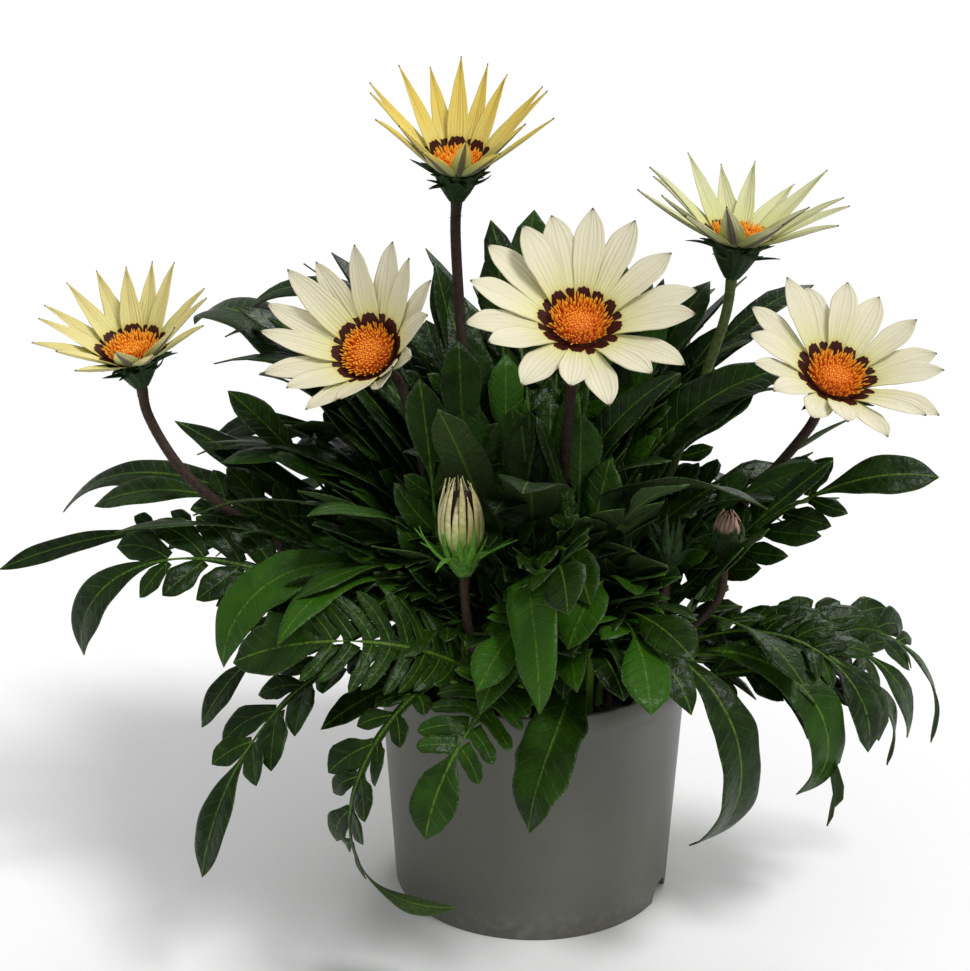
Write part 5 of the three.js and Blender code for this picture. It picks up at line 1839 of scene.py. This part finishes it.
@dataclass(frozen=True)
class Pot:
    """The pot: a tapering wall with a collar, a raised channel in its floor, and a notched foot."""

    rim: float = 65.0
    base: float = 57.5
    collar: float = 10.0
    step: float = 2.3
    wall: float = 1.8
    foot: float = 2.6
    pad: float = 20.0
    channel: float = 6.0
    bank: float = 4.0
    floor: float = 2.0
    notch_half: float = 8.0
    notch_high: float = 6.5
    notches: tuple[float, float] = (-21.0, 159.0)
    sides: int = 256

    def radius(self, z: float) -> float:
        """Give the outer radius under the collar at a height."""
        return self.base + (self.rim - self.step - self.base) * z / (POT_HEIGHT - self.collar)

    def build(self, finish: bpy.types.Material) -> None:
        """Build the pot: one profile turned about the axis, its foot cut up in two arches.

        Args:
            finish: its material.
        """
        shoulder, top = POT_HEIGHT - self.collar, POT_HEIGHT
        inner, lift = self.base - self.foot, self.channel + self.floor
        neck, rim = self.radius(shoulder), self.rim
        profile = np.array([
            (0.3, 0.0), (self.pad - 1, 0.0), (self.pad, 0.2), (self.pad + self.bank, self.channel),
            (inner - 0.4, self.channel), (inner, self.channel - 0.4), (inner, 0.4), (inner + 0.3, 0.0),
            (self.base - 0.4, 0.0), (self.base, 0.4), (self.radius(7.0), 7.0), (self.radius(30.0), 30.0),
            (self.radius(60.0), 60.0), (neck - 0.1, shoulder - 0.5), (neck + 0.1, shoulder - 0.1),
            (neck + 0.5, shoulder + 0.35), (rim - 0.6, shoulder + 0.9), (rim - 0.15, shoulder + 1.5),
            (rim - 0.05, top - 4.2), (rim, top - 0.8), (rim - 0.25, top - 0.25), (rim - 0.7, top),
            (rim - self.wall + 0.4, top), (rim - self.wall, top - 0.4), (rim - self.wall - 0.4, top - 6.0),
            (neck - self.wall, shoulder), (self.radius(30.0) - self.wall, 30.0),
            (self.radius(lift) - self.wall, lift), (self.pad + self.bank - 1.1, lift),
            (self.pad - 1.1, self.floor), (0.3, self.floor),
        ])
        turn = np.linspace(0.0, 2 * math.pi, self.sides, endpoint=False)
        radius, z = profile[:, :1] + 0.0 * turn, profile[:, 1:] + 0.0 * turn
        for azimuth in self.notches:
            away = (turn - math.radians(azimuth) + math.pi) % (2 * math.pi) - math.pi
            arch = self.notch_high * np.sqrt(np.maximum(0.0, 1.0 - (away * self.base / self.notch_half) ** 2))
            cut = (radius > inner - 0.2) & (z < 6.9) & (np.arange(len(profile))[:, None] < 11)
            z = np.where(cut, np.maximum(z, arch + 0.05 * z), z)
        rings = np.stack([radius * np.cos(turn), radius * np.sin(turn), z], axis=-1)
        body = Body("tint")
        body.skins(rings[None], np.zeros((1, 3)), np.array([[0.0, 0.0, self.floor]]))
        body.make("planter", finish, "pot", "pot")


@dataclass(frozen=True)
class Soil:
    """The soil: a crumbly top with loose crumbs and fibres on it."""

    edge: float = 60.4
    low: float = 8.3
    sides: int = 180
    crumbs: int = 900
    fibres: int = 160
    seed: int = 500

    def height(self, x: np.ndarray, y: np.ndarray) -> np.ndarray:
        """Give the top's height: a slow swell, a dip to the rim, and crumbs of two sizes.

        Args:
            x: places from left to right.
            y: places from front to back.

        Returns:
            The heights there.
        """
        swell = np.sin(x * 0.37 + 1) * np.sin(y * 0.41) + 0.5 * np.sin(x * 0.9 - y * 0.7)
        fine = np.sin(x * 2.1 + 0.7 * y) * np.sin(1.9 * y - 0.6 * x)
        fine = fine + 0.6 * np.sin(3.9 * x + 1.7) * np.sin(4.3 * y)
        dip = 1.5 * (np.hypot(x, y) / self.edge) ** 2
        return SOIL_TOP + 0.54 * swell + 0.45 * fine - dip

    def build(self, pot: Pot, finish: bpy.types.Material) -> None:
        """Build the soil, its crumbs and its fibres.

        Args:
            pot: the pot that it fills.
            finish: its material.
        """
        draw = np.random.default_rng(self.seed)
        body = Body("tint")
        turn = np.linspace(0.0, 2 * math.pi, self.sides, endpoint=False)
        inner = pot.radius(self.low) - pot.wall - GAP
        out = np.concatenate([[inner, self.edge], np.linspace(self.edge - 0.3, 0.4, 80)])
        x, y = out[:, None] * np.cos(turn), out[:, None] * np.sin(turn)
        z = self.height(x, y)
        z[:2] = np.array([self.low, SOIL_TOP - 3.0])[:, None]
        rings = np.stack([x, y, z], axis=-1)
        poles = [np.array([[0.0, 0.0, height]]) for height in (self.low, float(z[-1].mean()))]
        body.skins(rings[None], *poles, tint=0.3)
        self.scatter(body, draw)
        body.make("compost", finish, "soil", "soil")

    def scatter(self, body: Body, draw: np.random.Generator) -> None:
        """Add crumbs, which are small lopsided lumps of three six-sided rings, and thin fibres.

        Args:
            body: the mesh that they go into.
            draw: the soil's own random numbers.
        """
        spot = self.edge * 0.97 * np.sqrt(draw.random(self.crumbs))
        turn = draw.uniform(0.0, 2 * math.pi, self.crumbs)
        x, y = spot * np.cos(turn), spot * np.sin(turn)
        middle = np.stack([x, y, self.height(x, y) + 0.2], axis=-1)
        size = draw.uniform(0.4, 1.5, self.crumbs)[:, None, None, None]
        around = np.linspace(0, 2 * math.pi, 6, endpoint=False)
        ring = np.array([[0.8, -0.35], [1.0, 0.1], [0.6, 0.45]])
        shape = np.stack([
            ring[:, :1] * np.cos(around), ring[:, :1] * np.sin(around), ring[:, 1:] + 0.0 * around,
        ], axis=-1)[None]
        lumps = middle[:, None, None] + size * shape * draw.uniform(0.65, 1.25, (self.crumbs, 3, 6, 1))
        low = middle - Z_UP * 0.5 * size[:, 0, 0]
        high = middle + Z_UP * 0.55 * size[:, 0, 0]
        body.skins(lumps, low, high, tint=draw.random(self.crumbs)[:, None, None] * 0.93)
        spot = self.edge * 0.95 * np.sqrt(draw.random(self.fibres))
        turn = draw.uniform(0.0, 2 * math.pi, self.fibres)
        x, y = spot * np.cos(turn), spot * np.sin(turn)
        feet = np.stack([x, y, self.height(x, y) + 0.5], axis=-1)
        ways = heading(draw.uniform(0, 360, self.fibres), draw.uniform(-4, 16, self.fibres))
        body.hairs(feet, ways, draw.uniform(3.0, 9.0, self.fibres), 0.14, tint=1.0)


# ---- floor, light and camera ---------------------------------------------------------------


@dataclass(frozen=True)
class Lamp:
    """A soft far light; `spread` is the angle that it covers in the sky."""

    name: str
    azimuth: float
    elevation: float
    spread: float
    power: float


@dataclass(frozen=True)
class Studio:
    """A pale floor, soft lights and the camera."""

    eye: tuple[float, float, float] = (0.0, -0.650, 0.3734)
    down: float = 17.27  # the camera looks this far under the level
    turn: float = 1.73  # and this far from +Y towards -X
    lens: float = 63.15
    sky: float = 0.46
    lamps: tuple[Lamp, ...] = (
        Lamp("key", 322.0, 56.0, 18.0, 1.85),
        Lamp("rim", 70.0, 38.0, 30.0, 0.9),
    )

    WIDTH, HEIGHT = 970.0, 971.0  # the main picture, in pixels
    FILM = 36.0  # the camera's sensor width, in the lens's millimetres

    def seen(self, points: np.ndarray) -> np.ndarray:
        """Give where points lie in the main picture: their offsets over their distance ahead.

        Args:
            points: places in millimetres, with x, y, z on the last axis.

        Returns:
            Pixels to the right and downwards from the upper left corner, on the last axis.
        """
        ahead, right = heading(90.0 + self.turn, -self.down), heading(self.turn, 0.0)
        away = points * MM - np.array(self.eye)
        scale = self.WIDTH * self.lens / self.FILM / (away @ ahead)
        up = np.cross(right, ahead)
        x, y = 0.5 * self.WIDTH + scale * (away @ right), 0.5 * self.HEIGHT - scale * (away @ up)
        return np.stack([x, y], axis=-1)

    def build(self, finish: bpy.types.Material) -> None:
        """Set up the floor, the lights and the camera.

        Args:
            finish: the floor's material.
        """
        self.build_floor(finish)
        for lamp in self.lamps:
            self.build_lamp(lamp)
        world = bpy.data.worlds.new("studio")
        world.use_nodes = True
        world.node_tree.nodes["Background"].inputs["Color"].default_value = (1.0, 1.0, 1.0, 1.0)
        world.node_tree.nodes["Background"].inputs["Strength"].default_value = self.sky
        bpy.context.scene.world = world
        bpy.context.scene.view_settings.view_transform = "Standard"
        data = bpy.data.cameras.new("camera")
        data.lens, data.sensor_width, data.clip_start, data.clip_end = self.lens, self.FILM, 0.01, 60.0
        camera = bpy.data.objects.new("camera", data)
        camera.location = self.eye
        camera.rotation_euler = (math.radians(90.0 - self.down), 0.0, math.radians(self.turn))
        bpy.context.scene.collection.objects.link(camera)
        bpy.context.scene.camera = camera

    def build_floor(self, finish: bpy.types.Material, half: float = 25.0) -> None:
        """Lay the floor: one wide square at height 0.

        Args:
            finish: its material.
            half: half the length of its side, in metres.
        """
        mesh = bpy.data.meshes.new("floor")
        corners = [(-half, -half, 0.0), (half, -half, 0.0), (half, half, 0.0), (-half, half, 0.0)]
        mesh.from_pydata(corners, [], [(0, 1, 2, 3)])
        mesh.materials.append(finish)
        floor = bpy.data.objects.new("floor", mesh)
        bpy.context.scene.collection.objects.link(floor)

    def build_lamp(self, lamp: Lamp) -> None:
        """Hang one light, which shines from its azimuth and elevation.

        Args:
            lamp: the light.
        """
        data = bpy.data.lights.new(lamp.name, "SUN")
        data.energy, data.angle = lamp.power, math.radians(lamp.spread)
        thing = bpy.data.objects.new(lamp.name, data)
        thing.rotation_euler = (math.radians(90.0 - lamp.elevation), 0.0, math.radians(lamp.azimuth + 90.0))
        bpy.context.scene.collection.objects.link(thing)


def main() -> None:
    """Build the plant on its frame, then its studio."""
    logging.basicConfig(level=logging.INFO)
    finishes = Finishes()
    Studio().build(finishes.floor)
    pot = Pot()
    pot.build(finishes.pot)
    Soil().build(pot, finishes.soil)
    Rosette(finishes.leaf, BLOOMS + BUDS).build()
    for bloom in BLOOMS:
        bloom.build(finishes)
    for bud in BUDS:
        bud.build(finishes)


if __name__ == "__main__":
    main()
